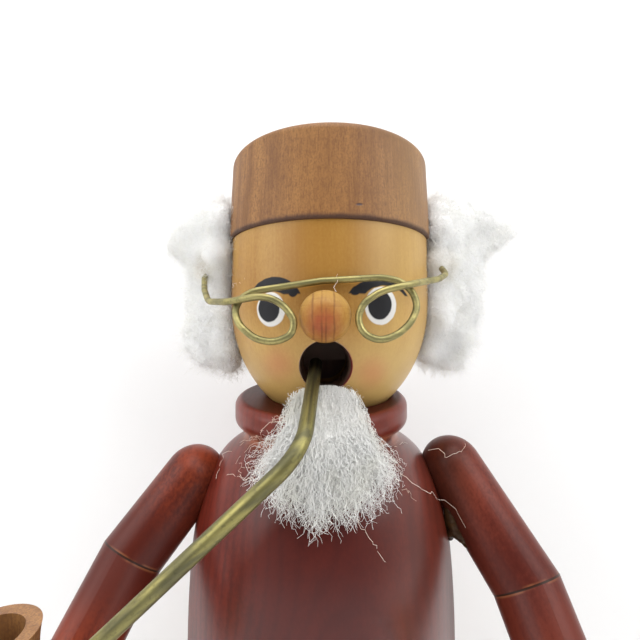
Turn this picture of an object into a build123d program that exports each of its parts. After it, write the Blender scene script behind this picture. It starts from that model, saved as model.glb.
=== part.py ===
"""Turned wooden incense smoker: an old man with a pipe, whose upper half lifts off the lower half."""
from build123d import *
from math import asin, cos, radians, sin, tan
import os

os.makedirs("parts", exist_ok=True)

# All sizes are in millimetres. The figure faces -Y, +X is its left hand, +Z is up.

# Base, legs and shoes.
BASE_R = 31.0
BASE_H = 8.0
BASE_EDGE = 2.4
LEG_X = 9.4
LEG_FOOT_R = 8.2
LEG_TOP_R = 7.4
LEG_TOP_Z = 62.0
LEG_TENON_R = 3.0
LEG_TENON_L = 5.0
SHOE_W = 13.6
SHOE_L = 25.0
SHOE_H = 8.0
SHOE_ROUND = 4.2
SHOE_TOE_Y = -21.5

# Hip block with the round spigot that the coat slips over.
HIP_R = 20.2
HIP_ROUND = 3.0
SPIGOT_R = 15.5
SPIGOT_H = 9.0
SPIGOT_PLAY = 0.3
VENT_R = 3.3
VENT_Y = 11.2

# Brass plate that the incense cone stands on, and its two tacks.
PLATE_R = 7.6
PLATE_T = 0.6
TACK_X = 6.0
TACK_HEAD_R = 0.9
TACK_HEAD_H = 0.4
TACK_R = 0.4
TACK_L = 4.0

# Coat: hollow barrel with a neck groove and a collar whose top slants down to the front.
HEM_Z = 77.0
HEM_R = 21.0
HEM_ROUND = 1.0
COAT_R = 21.8
NECK_Z = 123.5
NECK_R = 13.6
GROOVE_R = 13.0
GROOVE_H = 2.0
COLLAR_R = 14.8
COLLAR_SWELL_H = 1.9
COLLAR_TOP_Z = 130.6
COLLAR_SLANT = 5.7
COLLAR_ROUND = 1.4
CHAMBER_TOP_Z = 116.0
FLUE_R = 3.3

# Head, set a little to the figure's left on the collar.
HEAD_X = 1.4
HEAD_R = 17.0
HEAD_MID_Z = 146.3
HEAD_DROP = 20.6
HEAD_TOP_Z = 156.4
HEAD_TOP_R = 16.9
SEAT_Z = 129.5
SEAT_GAP = 0.15
TENON_R = 5.2
TENON_L = 7.0
GLUE = 0.03
FACE_X = 0.6
MOUTH_R = 3.7
MOUTH_Z = 136.4

# Nose, a turned button on a peg.
NOSE_X = 0.45
NOSE_Z = 143.2
NOSE_R = 3.4
NOSE_L = 6.0
NOSE_BACK_Y = -16.0
NOSE_PEG_R = 1.4
NOSE_PEG_L = 4.0

# Flat cap.
CAP_BOTTOM_R = 17.4
CAP_TOP_R = 16.8
CAP_H = 13.8
CAP_TOP_ROUND = 1.3
CAP_RIM_ROUND = 0.5

# Wire spectacles.
WIRE_R = 0.45
EYE_Z = 143.0
BAR_Y = -17.8
WIRE_BEND = 6.0
RING_FORWARD = 0.2

# Arms: plain rods with a round shoulder, mitred at the elbow.
ARM_R = 4.8
SHOULDER_Y = -3.9
SHOULDER_RIGHT_X = -20.9
SHOULDER_RIGHT_Z = 117.7
SHOULDER_LEFT_X = 21.5
SHOULDER_LEFT_Z = 119.2
ELBOW_RIGHT = (-28.9, -7.85, 106.95)
ELBOW_LEFT = (29.2, -11.8, 105.2)
CUFF_STEP = 0.2
WRIST_R = 4.1
HAND_R = 4.4
HAND_RIGHT = (-33.9, -21.0, 92.5)
HAND_LEFT = (31.2, -24.0, 90.5)
HAND_REACH = 6.5
WRIST_BACK = 2.6

# Pipe: turned bowl on a peg in the right hand, and a bent wire stem up to the mouth.
STEM_R = 0.95
STEM_TIP = (-0.8, -10.4, 136.6)
STEM_BEND = (-2.1, -25.0, 128.1)
STEM_BEND_R = 6.0
STEM_SEAT_H = 4.7
STEM_SEAT_X = 2.1
BOWL_R = 4.6
BOWL_FOOT_R = 2.4
BOWL_H = 14.0
BOWL_BORE_R = 3.15
BOWL_BORE_L = 6.2
BOWL_PEG_R = 1.5
BOWL_PEG_L = 5.0
PEG_PLAY = 0.05
PEG_ROOM = 0.3
HAND_FLAT = 0.5

# Wool hair and beard, plain forms for the fluffed wool.
WOOL_GAP = 0.2
HAIR_RIGHT_X = -21.4
HAIR_LEFT_X = 25.6
HAIR_Y = 2.2
HAIR_WAIST_Z = 151.6
HAIR_PUFF_H = 15.2
HAIR_RIGHT_R = 5.8
HAIR_LEFT_R = 6.9
LOCK_TOP_R = 4.2
LOCK_LOW_R = 4.0
LOCK_RIGHT_TIP = (-17.4, -0.6, 138.0)
LOCK_LEFT_TIP = (21.6, 0.4, 138.4)
FRINGE_T = 3.6
FRINGE_LOW_Z = 138.0
FRINGE_SPAN = 96.0
BEARD_X = 0.9
BEARD_UNDER_MOUTH = 3.1
BEARD_TOP_Z = MOUTH_Z - BEARD_UNDER_MOUTH
BEARD_LOW_Z = 117.5
BEARD_HALF_W = 8.8


def unit(start, end):
    """Direction from one point to another."""
    return (Vector(*end) - Vector(*start)).normalized()


def coat_section(grow=0.0):
    """Half section of the coat with a blank collar, swollen outward by grow."""
    rise = NECK_Z - HEM_Z
    barrel = [
        (HEM_R, HEM_Z),
        (0.992 * COAT_R, HEM_Z + 0.19 * rise),
        (COAT_R, HEM_Z + 0.43 * rise),
        (0.986 * COAT_R, HEM_Z + 0.60 * rise),
        (0.959 * COAT_R, HEM_Z + 0.72 * rise),
        (0.905 * COAT_R, HEM_Z + 0.82 * rise),
        (0.805 * COAT_R, HEM_Z + 0.93 * rise),
        (NECK_R, NECK_Z),
    ]
    groove_top = NECK_Z + GROOVE_H
    blank_top = COLLAR_TOP_Z + COLLAR_R
    swell = [
        (0.945 * COLLAR_R, groove_top),
        (0.985 * COLLAR_R, groove_top + 0.4 * COLLAR_SWELL_H),
        (COLLAR_R, groove_top + COLLAR_SWELL_H),
    ]
    barrel = [(r + grow, z) for r, z in barrel]
    swell = [(r + grow, z) for r, z in swell]
    with BuildSketch(Plane.XZ) as section:
        with BuildLine():
            Spline(*barrel)
            ThreePointArc(barrel[-1], (GROOVE_R + grow, NECK_Z + 0.5 * GROOVE_H), swell[0])
            Spline(*swell, tangents=((1, 1), (0, 1)))
            Polyline(swell[-1], (COLLAR_R + grow, blank_top), (0, blank_top), (0, HEM_Z), barrel[0])
        make_face()
    return section.sketch


def coat_form(grow=0.0):
    """Turned coat, its collar cut on the slant and rounded, swollen outward by grow."""
    upward = (0, -sin(radians(COLLAR_SLANT)), cos(radians(COLLAR_SLANT)))
    with BuildPart() as form:
        revolve(coat_section(grow), axis=Axis.Z)
        split(bisect_by=Plane((0, 0, COLLAR_TOP_Z + grow), z_dir=upward), keep=Keep.BOTTOM)
        fillet(form.faces().filter_by(GeomType.PLANE).sort_by(Axis.Z)[-1].edges(), COLLAR_ROUND)
    return form.part


def head_section(grow=0.0):
    """Half section of the egg-shaped head, swollen outward by grow, flat on its seat."""
    wide = HEAD_R + grow
    drop = HEAD_DROP + grow
    start = asin((SEAT_Z - HEAD_MID_Z) / drop)
    turns = [start * (1 - step / 6) for step in range(7)]
    jaw = [(HEAD_X + wide * cos(turn), HEAD_MID_Z + drop * sin(turn)) for turn in turns]
    with BuildSketch(Plane.XZ) as section:
        with BuildLine():
            Spline(*jaw, tangents=((-wide * sin(start), drop * cos(start)), (0, 1)))
            Polyline(
                (HEAD_X + wide, HEAD_MID_Z),
                (HEAD_X + HEAD_TOP_R + grow, HEAD_TOP_Z),
                (HEAD_X, HEAD_TOP_Z),
                (HEAD_X, SEAT_Z),
                jaw[0],
            )
        make_face()
    return section.sketch


def cap_section(grow=0.0):
    """Half section of the cap, swollen outward by grow."""
    with BuildSketch(Plane.XZ) as section:
        with BuildLine():
            Polyline(
                (HEAD_X, HEAD_TOP_Z - grow),
                (HEAD_X + CAP_BOTTOM_R + grow, HEAD_TOP_Z - grow),
                (HEAD_X + CAP_TOP_R + grow, HEAD_TOP_Z + CAP_H + grow),
                (HEAD_X, HEAD_TOP_Z + CAP_H + grow),
                close=True,
            )
        make_face()
    return section.sketch


def bend_radii(points, most):
    """Largest smooth bend at each inner point of a wire, no larger than most."""
    radii = []
    for before, here, after in zip(points, points[1:], points[2:]):
        first = Vector(*here) - Vector(*before)
        second = Vector(*after) - Vector(*here)
        half_turn = radians(first.get_angle(second)) / 2
        radii.append(min(most, 0.45 * min(first.length, second.length) / tan(half_turn)))
    return radii


def puff_section(axis_x, wide):
    """Half section of the puffed wool beside the cap, about its own upright axis."""
    top = HAIR_WAIST_Z + HAIR_PUFF_H
    side = [
        (axis_x + 0.50 * wide, HAIR_WAIST_Z),
        (axis_x + 0.90 * wide, HAIR_WAIST_Z + 0.24 * HAIR_PUFF_H),
        (axis_x + wide, HAIR_WAIST_Z + 0.52 * HAIR_PUFF_H),
        (axis_x + 0.82 * wide, HAIR_WAIST_Z + 0.82 * HAIR_PUFF_H),
        (axis_x + 0.40 * wide, top),
    ]
    with BuildSketch(Plane.XZ.offset(-HAIR_Y)) as section:
        with BuildLine():
            Spline(*side)
            Polyline(side[-1], (axis_x, top), (axis_x, HAIR_WAIST_Z), side[0])
        make_face()
    return section.sketch


def tuft(puff_x, puff_r, lock_tip):
    """Wool over one ear: a puff beside the cap and a lock that hangs from it along the cheek."""
    root = (puff_x, HAIR_Y, HAIR_WAIST_Z)
    with BuildPart() as wool:
        revolve(puff_section(puff_x, puff_r), axis=Axis((puff_x, HAIR_Y, 0), (0, 0, 1)))
        with BuildSketch(Plane(root, z_dir=unit(root, lock_tip))):
            Circle(LOCK_TOP_R)
        with BuildSketch(Plane(lock_tip, z_dir=unit(root, lock_tip))):
            Circle(LOCK_LOW_R)
        loft()
        with Locations(root):
            Sphere(LOCK_TOP_R)
        with Locations(lock_tip):
            Sphere(LOCK_LOW_R)
        revolve(head_section(WOOL_GAP), axis=HEAD_AXIS, mode=Mode.SUBTRACT)
        revolve(cap_section(WOOL_GAP), axis=HEAD_AXIS, mode=Mode.SUBTRACT)
    return wool.part


HEAD_AXIS = Axis((HEAD_X, 0, 0), (0, 0, 1))
SPIGOT_TOP_Z = HEM_Z + SPIGOT_H
PLATE_TOP_Z = SPIGOT_TOP_Z + PLATE_T
CHAMBER_R = SPIGOT_R + SPIGOT_PLAY
TENON_END_Z = SEAT_Z - TENON_L

# Base plate with a rounded edge and two blind holes for the legs.
with BuildPart() as base_plate:
    with BuildSketch(Plane.XY):
        Circle(BASE_R)
    extrude(amount=BASE_H)
    fillet(base_plate.faces().sort_by(Axis.Z)[-1].edges(), BASE_EDGE)
    chamfer(base_plate.faces().sort_by(Axis.Z)[0].edges(), 0.6)
    with BuildSketch(Plane.XY.offset(BASE_H)):
        with Locations((LEG_X, 0), (-LEG_X, 0)):
            Circle(LEG_TENON_R + GLUE)
    extrude(amount=-LEG_TENON_L, mode=Mode.SUBTRACT)


def leg_at(x):
    """Turned trouser leg with a tenon at each end."""
    with BuildPart() as leg:
        with BuildSketch(Plane.XZ):
            with BuildLine():
                Polyline(
                    (x, BASE_H - LEG_TENON_L),
                    (x + LEG_TENON_R, BASE_H - LEG_TENON_L),
                    (x + LEG_TENON_R, BASE_H),
                    (x + LEG_FOOT_R, BASE_H),
                    (x + LEG_TOP_R, LEG_TOP_Z),
                    (x + LEG_TENON_R, LEG_TOP_Z),
                    (x + LEG_TENON_R, LEG_TOP_Z + LEG_TENON_L),
                    (x, LEG_TOP_Z + LEG_TENON_L),
                    close=True,
                )
            make_face()
        revolve(axis=Axis((x, 0, 0), (0, 0, 1)))
    return leg.part


def shoe_at(x):
    """Rounded shoe with a hollowed heel that is glued against the foot of a leg."""
    with BuildPart() as shoe:
        with BuildSketch(Plane.XY.offset(BASE_H)):
            with Locations((x, SHOE_TOE_Y + 0.5 * SHOE_L)):
                SlotOverall(SHOE_L, SHOE_W, rotation=90)
        extrude(amount=SHOE_H)
        fillet(shoe.faces().sort_by(Axis.Z)[-1].edges(), SHOE_ROUND)
        with BuildSketch(Plane.XY.offset(BASE_H)):
            with Locations((x, 0)):
                Circle(LEG_FOOT_R + GLUE)
            with Locations((x, LEG_FOOT_R)):
                Rectangle(4 * LEG_FOOT_R, 2 * LEG_FOOT_R)
        extrude(amount=SHOE_H, mode=Mode.SUBTRACT)
    return shoe.part


with BuildPart() as leg_right:
    add(leg_at(-LEG_X))

with BuildPart() as leg_left:
    add(leg_at(LEG_X))

with BuildPart() as shoe_right:
    add(shoe_at(-LEG_X))

with BuildPart() as shoe_left:
    add(shoe_at(LEG_X))

# Hip block: rounded seat, shoulder for the coat's hem, spigot, air hole and tack holes.
with BuildPart() as hip_block:
    with BuildSketch(Plane.XY.offset(LEG_TOP_Z)):
        Circle(HIP_R)
    extrude(amount=HEM_Z - LEG_TOP_Z)
    fillet(hip_block.faces().sort_by(Axis.Z)[0].edges(), HIP_ROUND)
    with BuildSketch(Plane.XY.offset(HEM_Z)):
        Circle(SPIGOT_R)
    extrude(amount=SPIGOT_H)
    chamfer(hip_block.faces().sort_by(Axis.Z)[-1].edges(), 0.6)
    with BuildSketch(Plane.XY.offset(LEG_TOP_Z)):
        with Locations((LEG_X, 0), (-LEG_X, 0)):
            Circle(LEG_TENON_R + GLUE)
    extrude(amount=LEG_TENON_L, mode=Mode.SUBTRACT)
    with BuildSketch(Plane.XY.offset(LEG_TOP_Z)):
        with Locations((0, VENT_Y)):
            Circle(VENT_R)
    extrude(amount=SPIGOT_TOP_Z - LEG_TOP_Z, mode=Mode.SUBTRACT)
    with BuildSketch(Plane.XY.offset(SPIGOT_TOP_Z)):
        with Locations((TACK_X, 0), (-TACK_X, 0)):
            Circle(TACK_R + GLUE)
    extrude(amount=-TACK_L, mode=Mode.SUBTRACT)

with BuildPart() as cone_plate:
    with BuildSketch(Plane.XY.offset(SPIGOT_TOP_Z)):
        Circle(PLATE_R)
        with Locations((TACK_X, 0), (-TACK_X, 0)):
            Circle(TACK_R + GLUE, mode=Mode.SUBTRACT)
    extrude(amount=PLATE_T)

with BuildPart() as plate_tacks:
    with BuildSketch(Plane.XY.offset(PLATE_TOP_Z)):
        with Locations((TACK_X, 0), (-TACK_X, 0)):
            Circle(TACK_HEAD_R)
    extrude(amount=TACK_HEAD_H)
    fillet(plate_tacks.faces().filter_by(GeomType.PLANE).group_by(Axis.Z)[-1].edges(), 0.5 * TACK_HEAD_H)
    with BuildSketch(Plane.XY.offset(PLATE_TOP_Z)):
        with Locations((TACK_X, 0), (-TACK_X, 0)):
            Circle(TACK_R)
    extrude(amount=-(PLATE_T + TACK_L))

# Coat with its collar, bored from below as the smoke chamber, with a flue up to the head.
with BuildPart() as torso:
    add(coat_form())
    fillet(torso.faces().sort_by(Axis.Z)[0].edges(), HEM_ROUND)
    revolve(head_section(SEAT_GAP), axis=HEAD_AXIS, mode=Mode.SUBTRACT)
    with BuildSketch(Plane.XY.offset(HEM_Z)):
        Circle(CHAMBER_R)
    extrude(amount=CHAMBER_TOP_Z - HEM_Z, mode=Mode.SUBTRACT)
    with BuildSketch(Plane.XY.offset(HEM_Z)):
        with Locations((HEAD_X, 0)):
            Circle(FLUE_R)
    extrude(amount=SEAT_Z - HEM_Z, mode=Mode.SUBTRACT)
    with BuildSketch(Plane.XY.offset(TENON_END_Z)):
        with Locations((HEAD_X, 0)):
            Circle(TENON_R + GLUE)
    extrude(amount=TENON_L, mode=Mode.SUBTRACT)

# Head: egg with a neck tenon, a flue that meets the mouth, and a seat for the nose.
with BuildPart() as head:
    revolve(head_section(), axis=HEAD_AXIS)
    with BuildSketch(Plane.XY.offset(TENON_END_Z)):
        with Locations((HEAD_X, 0)):
            Circle(TENON_R)
    extrude(amount=TENON_L)
    with BuildSketch(Plane.XY.offset(TENON_END_Z)):
        with Locations((HEAD_X, 0)):
            Circle(FLUE_R)
    extrude(amount=MOUTH_Z - TENON_END_Z, mode=Mode.SUBTRACT)
    with BuildSketch(Plane.XZ):
        with Locations((FACE_X, MOUTH_Z)):
            Circle(MOUTH_R)
    extrude(amount=2 * HEAD_R, mode=Mode.SUBTRACT)
    with BuildSketch(Plane.XZ.offset(-NOSE_BACK_Y)):
        with Locations((NOSE_X, NOSE_Z)):
            Circle(NOSE_R + GLUE)
    extrude(amount=HEAD_R, mode=Mode.SUBTRACT)
    with BuildSketch(Plane.XZ.offset(-NOSE_BACK_Y)):
        with Locations((NOSE_X, NOSE_Z)):
            Circle(NOSE_PEG_R + GLUE)
    extrude(amount=-NOSE_PEG_L, mode=Mode.SUBTRACT)

# Nose: drawn in a plane through its own axis, first radius, then distance forward.
NOSE_SEAT = Vector(NOSE_X, NOSE_BACK_Y, NOSE_Z)
with BuildPart() as nose:
    with BuildSketch(Plane(NOSE_SEAT, x_dir=(0, 0, 1), z_dir=(1, 0, 0))):
        with BuildLine():
            Spline(
                (0.94 * NOSE_R, 0),
                (NOSE_R, 0.32 * NOSE_L),
                (0.90 * NOSE_R, 0.68 * NOSE_L),
                (0.58 * NOSE_R, 0.93 * NOSE_L),
                (0, NOSE_L),
                tangents=((0.1, 1), (-1, 0)),
            )
            Polyline(
                (0, NOSE_L),
                (0, -NOSE_PEG_L),
                (NOSE_PEG_R, -NOSE_PEG_L),
                (NOSE_PEG_R, 0),
                (0.94 * NOSE_R, 0),
            )
        make_face()
    revolve(axis=Axis(NOSE_SEAT, (0, -1, 0)))

with BuildPart() as cap:
    revolve(cap_section(), axis=HEAD_AXIS)
    fillet(cap.faces().sort_by(Axis.Z)[-1].edges(), CAP_TOP_ROUND)
    fillet(cap.faces().sort_by(Axis.Z)[0].edges(), CAP_RIM_ROUND)

# Spectacles: one bent wire. It starts as a hook against the right tuft, comes forward as the temple,
# turns once round the right eye, crosses the brow, turns once round the left eye and goes back to a
# hook against the left tuft. Points are across from the face's middle, along Y, up from the eyes.
RIGHT_TEMPLE = [
    (-20.0, -3.0, 8.1),
    (-19.8, -5.5, 7.1),
    (-18.5, -9.5, 4.65),
    (-16.9, -12.8, 2.6),
    (-12.4, -19.2, 2.0),
]
RIGHT_RING = [
    (-8.6, -20.2, 2.6),
    (-6.8, -20.3, 2.4),
    (-5.2, -20.3, 1.4),
    (-3.9, -20.3, -0.4),
    (-4.3, -20.4, -2.2),
    (-6.4, -20.5, -3.1),
    (-8.8, -20.3, -2.7),
    (-11.0, -19.7, -0.9),
    (-11.7, -18.9, 0.9),
    (-11.2, -18.3, 2.4),
    (-9.6, BAR_Y - RING_FORWARD, 3.5),
]
BAR = [(-0.6, BAR_Y, 4.9), (7.2, BAR_Y, 5.35)]
LEFT_RING = [
    (9.6, BAR_Y - 0.5 * RING_FORWARD, 4.9),
    (11.2, -18.2, 3.5),
    (11.7, -18.8, 1.5),
    (10.7, -19.5, -0.6),
    (8.8, -20.1, -2.2),
    (6.6, -20.4, -2.9),
    (4.6, -20.4, -2.1),
    (3.8, -20.2, -0.2),
    (4.6, -20.0, 1.8),
]
LEFT_TEMPLE = [
    (6.8, -19.9, 3.3),
    (10.6, -19.8, 4.2),
    (16.2, -13.4, 5.8),
    (18.4, -10.0, 7.0),
    (19.2, -4.5, 9.3),
]
wire = [(FACE_X + x, y, EYE_Z + z) for x, y, z in RIGHT_TEMPLE + RIGHT_RING + BAR + LEFT_RING + LEFT_TEMPLE]
with BuildPart() as glasses:
    with BuildLine() as glasses_path:
        FilletPolyline(*wire, radius=bend_radii(wire, WIRE_BEND))
    with BuildSketch(Plane(wire[0], z_dir=unit(wire[0], wire[1]))):
        Circle(WIRE_R)
    sweep(path=glasses_path.wires()[0])


def upper_arm(shoulder, elbow, hand):
    """Rod with a round shoulder end, coped to the coat and mitred at the elbow."""
    along = unit(shoulder, elbow)
    mitre = (along + unit(elbow, hand)).normalized()
    reach = (Vector(*elbow) - Vector(*shoulder)).length + 2 * ARM_R
    with BuildPart() as arm:
        with BuildSketch(Plane(shoulder, z_dir=along)):
            Circle(ARM_R)
        extrude(amount=reach)
        with Locations(shoulder):
            Sphere(ARM_R)
        split(bisect_by=Plane(elbow, z_dir=mitre), keep=Keep.BOTTOM)
        revolve(coat_section(GLUE), axis=Axis.Z, mode=Mode.SUBTRACT)
    return arm.part


def forearm(shoulder, elbow, hand):
    """Tapered sleeve from the elbow's mitre to a flat end at the wrist."""
    along = unit(elbow, hand)
    mitre = (unit(shoulder, elbow) + along).normalized()
    start = Vector(*elbow) - along * ARM_R
    wrist = Vector(*hand) - along * WRIST_BACK
    with BuildPart() as sleeve:
        with BuildSketch(Plane(start, z_dir=along)):
            Circle(ARM_R + CUFF_STEP)
        with BuildSketch(Plane(wrist, z_dir=along)):
            Circle(WRIST_R)
        loft()
        split(bisect_by=Plane(elbow, z_dir=mitre), keep=Keep.TOP)
    return sleeve.part


def mitten(elbow, hand):
    """Round-ended hand that points forward from a flat wrist."""
    along = unit(elbow, hand)
    wrist = Vector(*hand) - along * WRIST_BACK
    with BuildPart() as fist:
        with BuildSketch(Plane(hand, z_dir=(0, -1, 0))):
            Circle(HAND_R)
        extrude(amount=HAND_REACH)
        with Locations(hand, (hand[0], hand[1] - HAND_REACH, hand[2])):
            Sphere(HAND_R)
        split(bisect_by=Plane(wrist, z_dir=along), keep=Keep.TOP)
    return fist.part


SHOULDER_RIGHT = (SHOULDER_RIGHT_X, SHOULDER_Y, SHOULDER_RIGHT_Z)
SHOULDER_LEFT = (SHOULDER_LEFT_X, SHOULDER_Y, SHOULDER_LEFT_Z)

with BuildPart() as upper_arm_right:
    add(upper_arm(SHOULDER_RIGHT, ELBOW_RIGHT, HAND_RIGHT))

with BuildPart() as upper_arm_left:
    add(upper_arm(SHOULDER_LEFT, ELBOW_LEFT, HAND_LEFT))

with BuildPart() as forearm_right:
    add(forearm(SHOULDER_RIGHT, ELBOW_RIGHT, HAND_RIGHT))

with BuildPart() as forearm_left:
    add(forearm(SHOULDER_LEFT, ELBOW_LEFT, HAND_LEFT))

with BuildPart() as hand_left:
    add(mitten(ELBOW_LEFT, HAND_LEFT))

# The pipe turns on its peg in the right hand, so the hand has a flat and a hole on the same axis.
PIPE_X = HAND_RIGHT[0]
PIPE_Y = HAND_RIGHT[1] - HAND_REACH
BOWL_Z = HAND_RIGHT[2] + HAND_R - HAND_FLAT
with BuildPart() as hand_right:
    add(mitten(ELBOW_RIGHT, HAND_RIGHT))
    with BuildSketch(Plane.XY.offset(BOWL_Z)):
        with Locations((PIPE_X, PIPE_Y)):
            Circle(HAND_R)
    extrude(amount=HAND_R, mode=Mode.SUBTRACT)
    with BuildSketch(Plane.XY.offset(BOWL_Z)):
        with Locations((PIPE_X, PIPE_Y)):
            Circle(BOWL_PEG_R + PEG_PLAY)
    extrude(amount=-(BOWL_PEG_L + PEG_ROOM), mode=Mode.SUBTRACT)

# Stem: from the mouth forward and down to a bend, then straight to its seat in the bowl.
STEM_END = (PIPE_X + STEM_SEAT_X, PIPE_Y, BOWL_Z + STEM_SEAT_H)
with BuildPart() as pipe_stem:
    with BuildLine() as stem_path:
        FilletPolyline(STEM_TIP, STEM_BEND, STEM_END, radius=STEM_BEND_R)
    with BuildSketch(Plane(STEM_TIP, z_dir=unit(STEM_TIP, STEM_BEND))):
        Circle(STEM_R)
    sweep(path=stem_path.wires()[0])

with BuildPart() as pipe_bowl:
    with BuildSketch(Plane.XZ.offset(-PIPE_Y)):
        with BuildLine():
            Spline(
                (PIPE_X + BOWL_FOOT_R, BOWL_Z),
                (PIPE_X + 0.87 * BOWL_R, BOWL_Z + 0.20 * BOWL_H),
                (PIPE_X + 0.98 * BOWL_R, BOWL_Z + 0.50 * BOWL_H),
                (PIPE_X + BOWL_R, BOWL_Z + BOWL_H),
            )
            Polyline(
                (PIPE_X + BOWL_R, BOWL_Z + BOWL_H),
                (PIPE_X + BOWL_BORE_R, BOWL_Z + BOWL_H),
                (PIPE_X + BOWL_BORE_R, BOWL_Z + BOWL_H - BOWL_BORE_L),
                (PIPE_X, BOWL_Z + BOWL_H - BOWL_BORE_L),
                (PIPE_X, BOWL_Z - BOWL_PEG_L),
                (PIPE_X + BOWL_PEG_R, BOWL_Z - BOWL_PEG_L),
                (PIPE_X + BOWL_PEG_R, BOWL_Z),
                (PIPE_X + BOWL_FOOT_R, BOWL_Z),
            )
        make_face()
    revolve(axis=Axis((PIPE_X, PIPE_Y, 0), (0, 0, 1)))
    with BuildSketch(Plane(STEM_END, z_dir=unit(STEM_END, STEM_BEND))):
        Circle(STEM_R + GLUE)
    extrude(amount=2 * BOWL_R, mode=Mode.SUBTRACT)

# Hair: a puffed tuft over each ear and a fringe round the back, under the cap.
with BuildPart() as hair_right:
    add(tuft(HAIR_RIGHT_X, HAIR_RIGHT_R, LOCK_RIGHT_TIP))

with BuildPart() as hair_left:
    add(tuft(HAIR_LEFT_X, HAIR_LEFT_R, LOCK_LEFT_TIP))

# Beard: a fan of wool from the lower lip over the collar, laid on the coat behind the stem.
with BuildPart() as beard:
    drop = BEARD_TOP_Z - BEARD_LOW_Z
    with BuildSketch(Plane.XZ):
        with BuildLine():
            Polyline(
                (0, BEARD_TOP_Z),
                (0.64 * COAT_R, BEARD_TOP_Z),
                (0.70 * COAT_R, BEARD_TOP_Z - 0.08 * drop),
                (0.84 * COAT_R, BEARD_TOP_Z - 0.22 * drop),
                (0.94 * COAT_R, BEARD_TOP_Z - 0.38 * drop),
                (0.985 * COAT_R, BEARD_TOP_Z - 0.58 * drop),
                (0.99 * COAT_R, BEARD_LOW_Z),
                (0, BEARD_LOW_Z),
                close=True,
            )
        make_face()
    revolve(axis=Axis.Z)
    with BuildSketch(Plane.XZ):
        with BuildLine():
            Polyline(
                (BEARD_X, BEARD_TOP_Z),
                (BEARD_X + 0.41 * BEARD_HALF_W, BEARD_TOP_Z),
                (BEARD_X + 0.81 * BEARD_HALF_W, BEARD_TOP_Z - 0.41 * drop),
                (BEARD_X + BEARD_HALF_W, BEARD_TOP_Z - 0.65 * drop),
                (BEARD_X + 0.66 * BEARD_HALF_W, BEARD_TOP_Z - 0.90 * drop),
                (BEARD_X, BEARD_LOW_Z),
                close=True,
            )
        make_face()
        mirror(about=Plane.YZ.offset(BEARD_X))
    extrude(amount=2 * COAT_R, mode=Mode.INTERSECT)
    add(coat_form(WOOL_GAP), mode=Mode.SUBTRACT)
    revolve(head_section(WOOL_GAP), axis=HEAD_AXIS, mode=Mode.SUBTRACT)

FRINGE_START = radians(90 - 0.5 * FRINGE_SPAN)
with BuildPart() as hair_back:
    inner = HEAD_R + WOOL_GAP
    top = HEAD_TOP_Z - WOOL_GAP
    middle = 0.5 * (FRINGE_LOW_Z + top)
    outward = (cos(FRINGE_START), sin(FRINGE_START), 0)
    across = (sin(FRINGE_START), -cos(FRINGE_START), 0)
    with BuildSketch(Plane((HEAD_X, 0, 0), x_dir=outward, z_dir=across)):
        with BuildLine():
            ThreePointArc((inner, FRINGE_LOW_Z), (inner + FRINGE_T, middle), (inner, top))
            Line((inner, top), (inner, FRINGE_LOW_Z))
        make_face()
    revolve(axis=HEAD_AXIS, revolution_arc=FRINGE_SPAN)

nodes = {
    "base_plate": base_plate,
    "leg_right": leg_right,
    "leg_left": leg_left,
    "shoe_right": shoe_right,
    "shoe_left": shoe_left,
    "hip_block": hip_block,
    "cone_plate": cone_plate,
    "plate_tacks": plate_tacks,
    "torso": torso,
    "head": head,
    "nose": nose,
    "cap": cap,
    "glasses": glasses,
    "beard": beard,
    "hair_right": hair_right,
    "hair_left": hair_left,
    "hair_back": hair_back,
    "upper_arm_right": upper_arm_right,
    "upper_arm_left": upper_arm_left,
    "forearm_right": forearm_right,
    "forearm_left": forearm_left,
    "hand_right": hand_right,
    "hand_left": hand_left,
    "pipe_stem": pipe_stem,
    "pipe_bowl": pipe_bowl,
}
for label, built in nodes.items():
    built.part.label = label
    export_step(built.part, f"parts/{label}.step")
    print(label, "solids", len(built.part.solids()), "volume", round(built.part.volume, 1), built.part.is_valid)
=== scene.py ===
import math

import bmesh
import bpy
import numpy as np
from mathutils import Matrix, Vector, noise


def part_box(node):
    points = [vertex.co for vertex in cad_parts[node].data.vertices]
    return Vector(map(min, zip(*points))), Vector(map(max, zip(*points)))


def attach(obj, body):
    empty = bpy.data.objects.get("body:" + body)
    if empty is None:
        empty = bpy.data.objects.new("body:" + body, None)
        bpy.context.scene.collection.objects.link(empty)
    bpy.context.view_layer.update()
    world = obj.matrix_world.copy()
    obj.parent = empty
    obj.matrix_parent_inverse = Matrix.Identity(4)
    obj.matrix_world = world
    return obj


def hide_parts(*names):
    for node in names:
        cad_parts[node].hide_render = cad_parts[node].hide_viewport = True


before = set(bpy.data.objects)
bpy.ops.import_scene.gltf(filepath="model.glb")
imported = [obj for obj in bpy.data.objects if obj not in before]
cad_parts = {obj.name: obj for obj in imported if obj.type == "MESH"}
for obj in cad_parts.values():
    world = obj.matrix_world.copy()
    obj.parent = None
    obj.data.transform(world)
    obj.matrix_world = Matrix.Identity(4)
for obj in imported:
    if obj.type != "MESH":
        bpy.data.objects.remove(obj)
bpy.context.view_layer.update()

MM = 0.001

# Sizes and places are in millimetres in the frame's own axes: the figure faces -Y and +X is its left.

# Camera: its place, its tilt in degrees, and its focal length in pixels of the square picture.
PICTURE_PX = 640.0
FOCAL_PX = 370.0
SENSOR_WIDTH = 36.0
CAMERA_AT = (-0.2, -66.0, 141.0)
CAMERA_TIPPED_UP = 2.1

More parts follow.
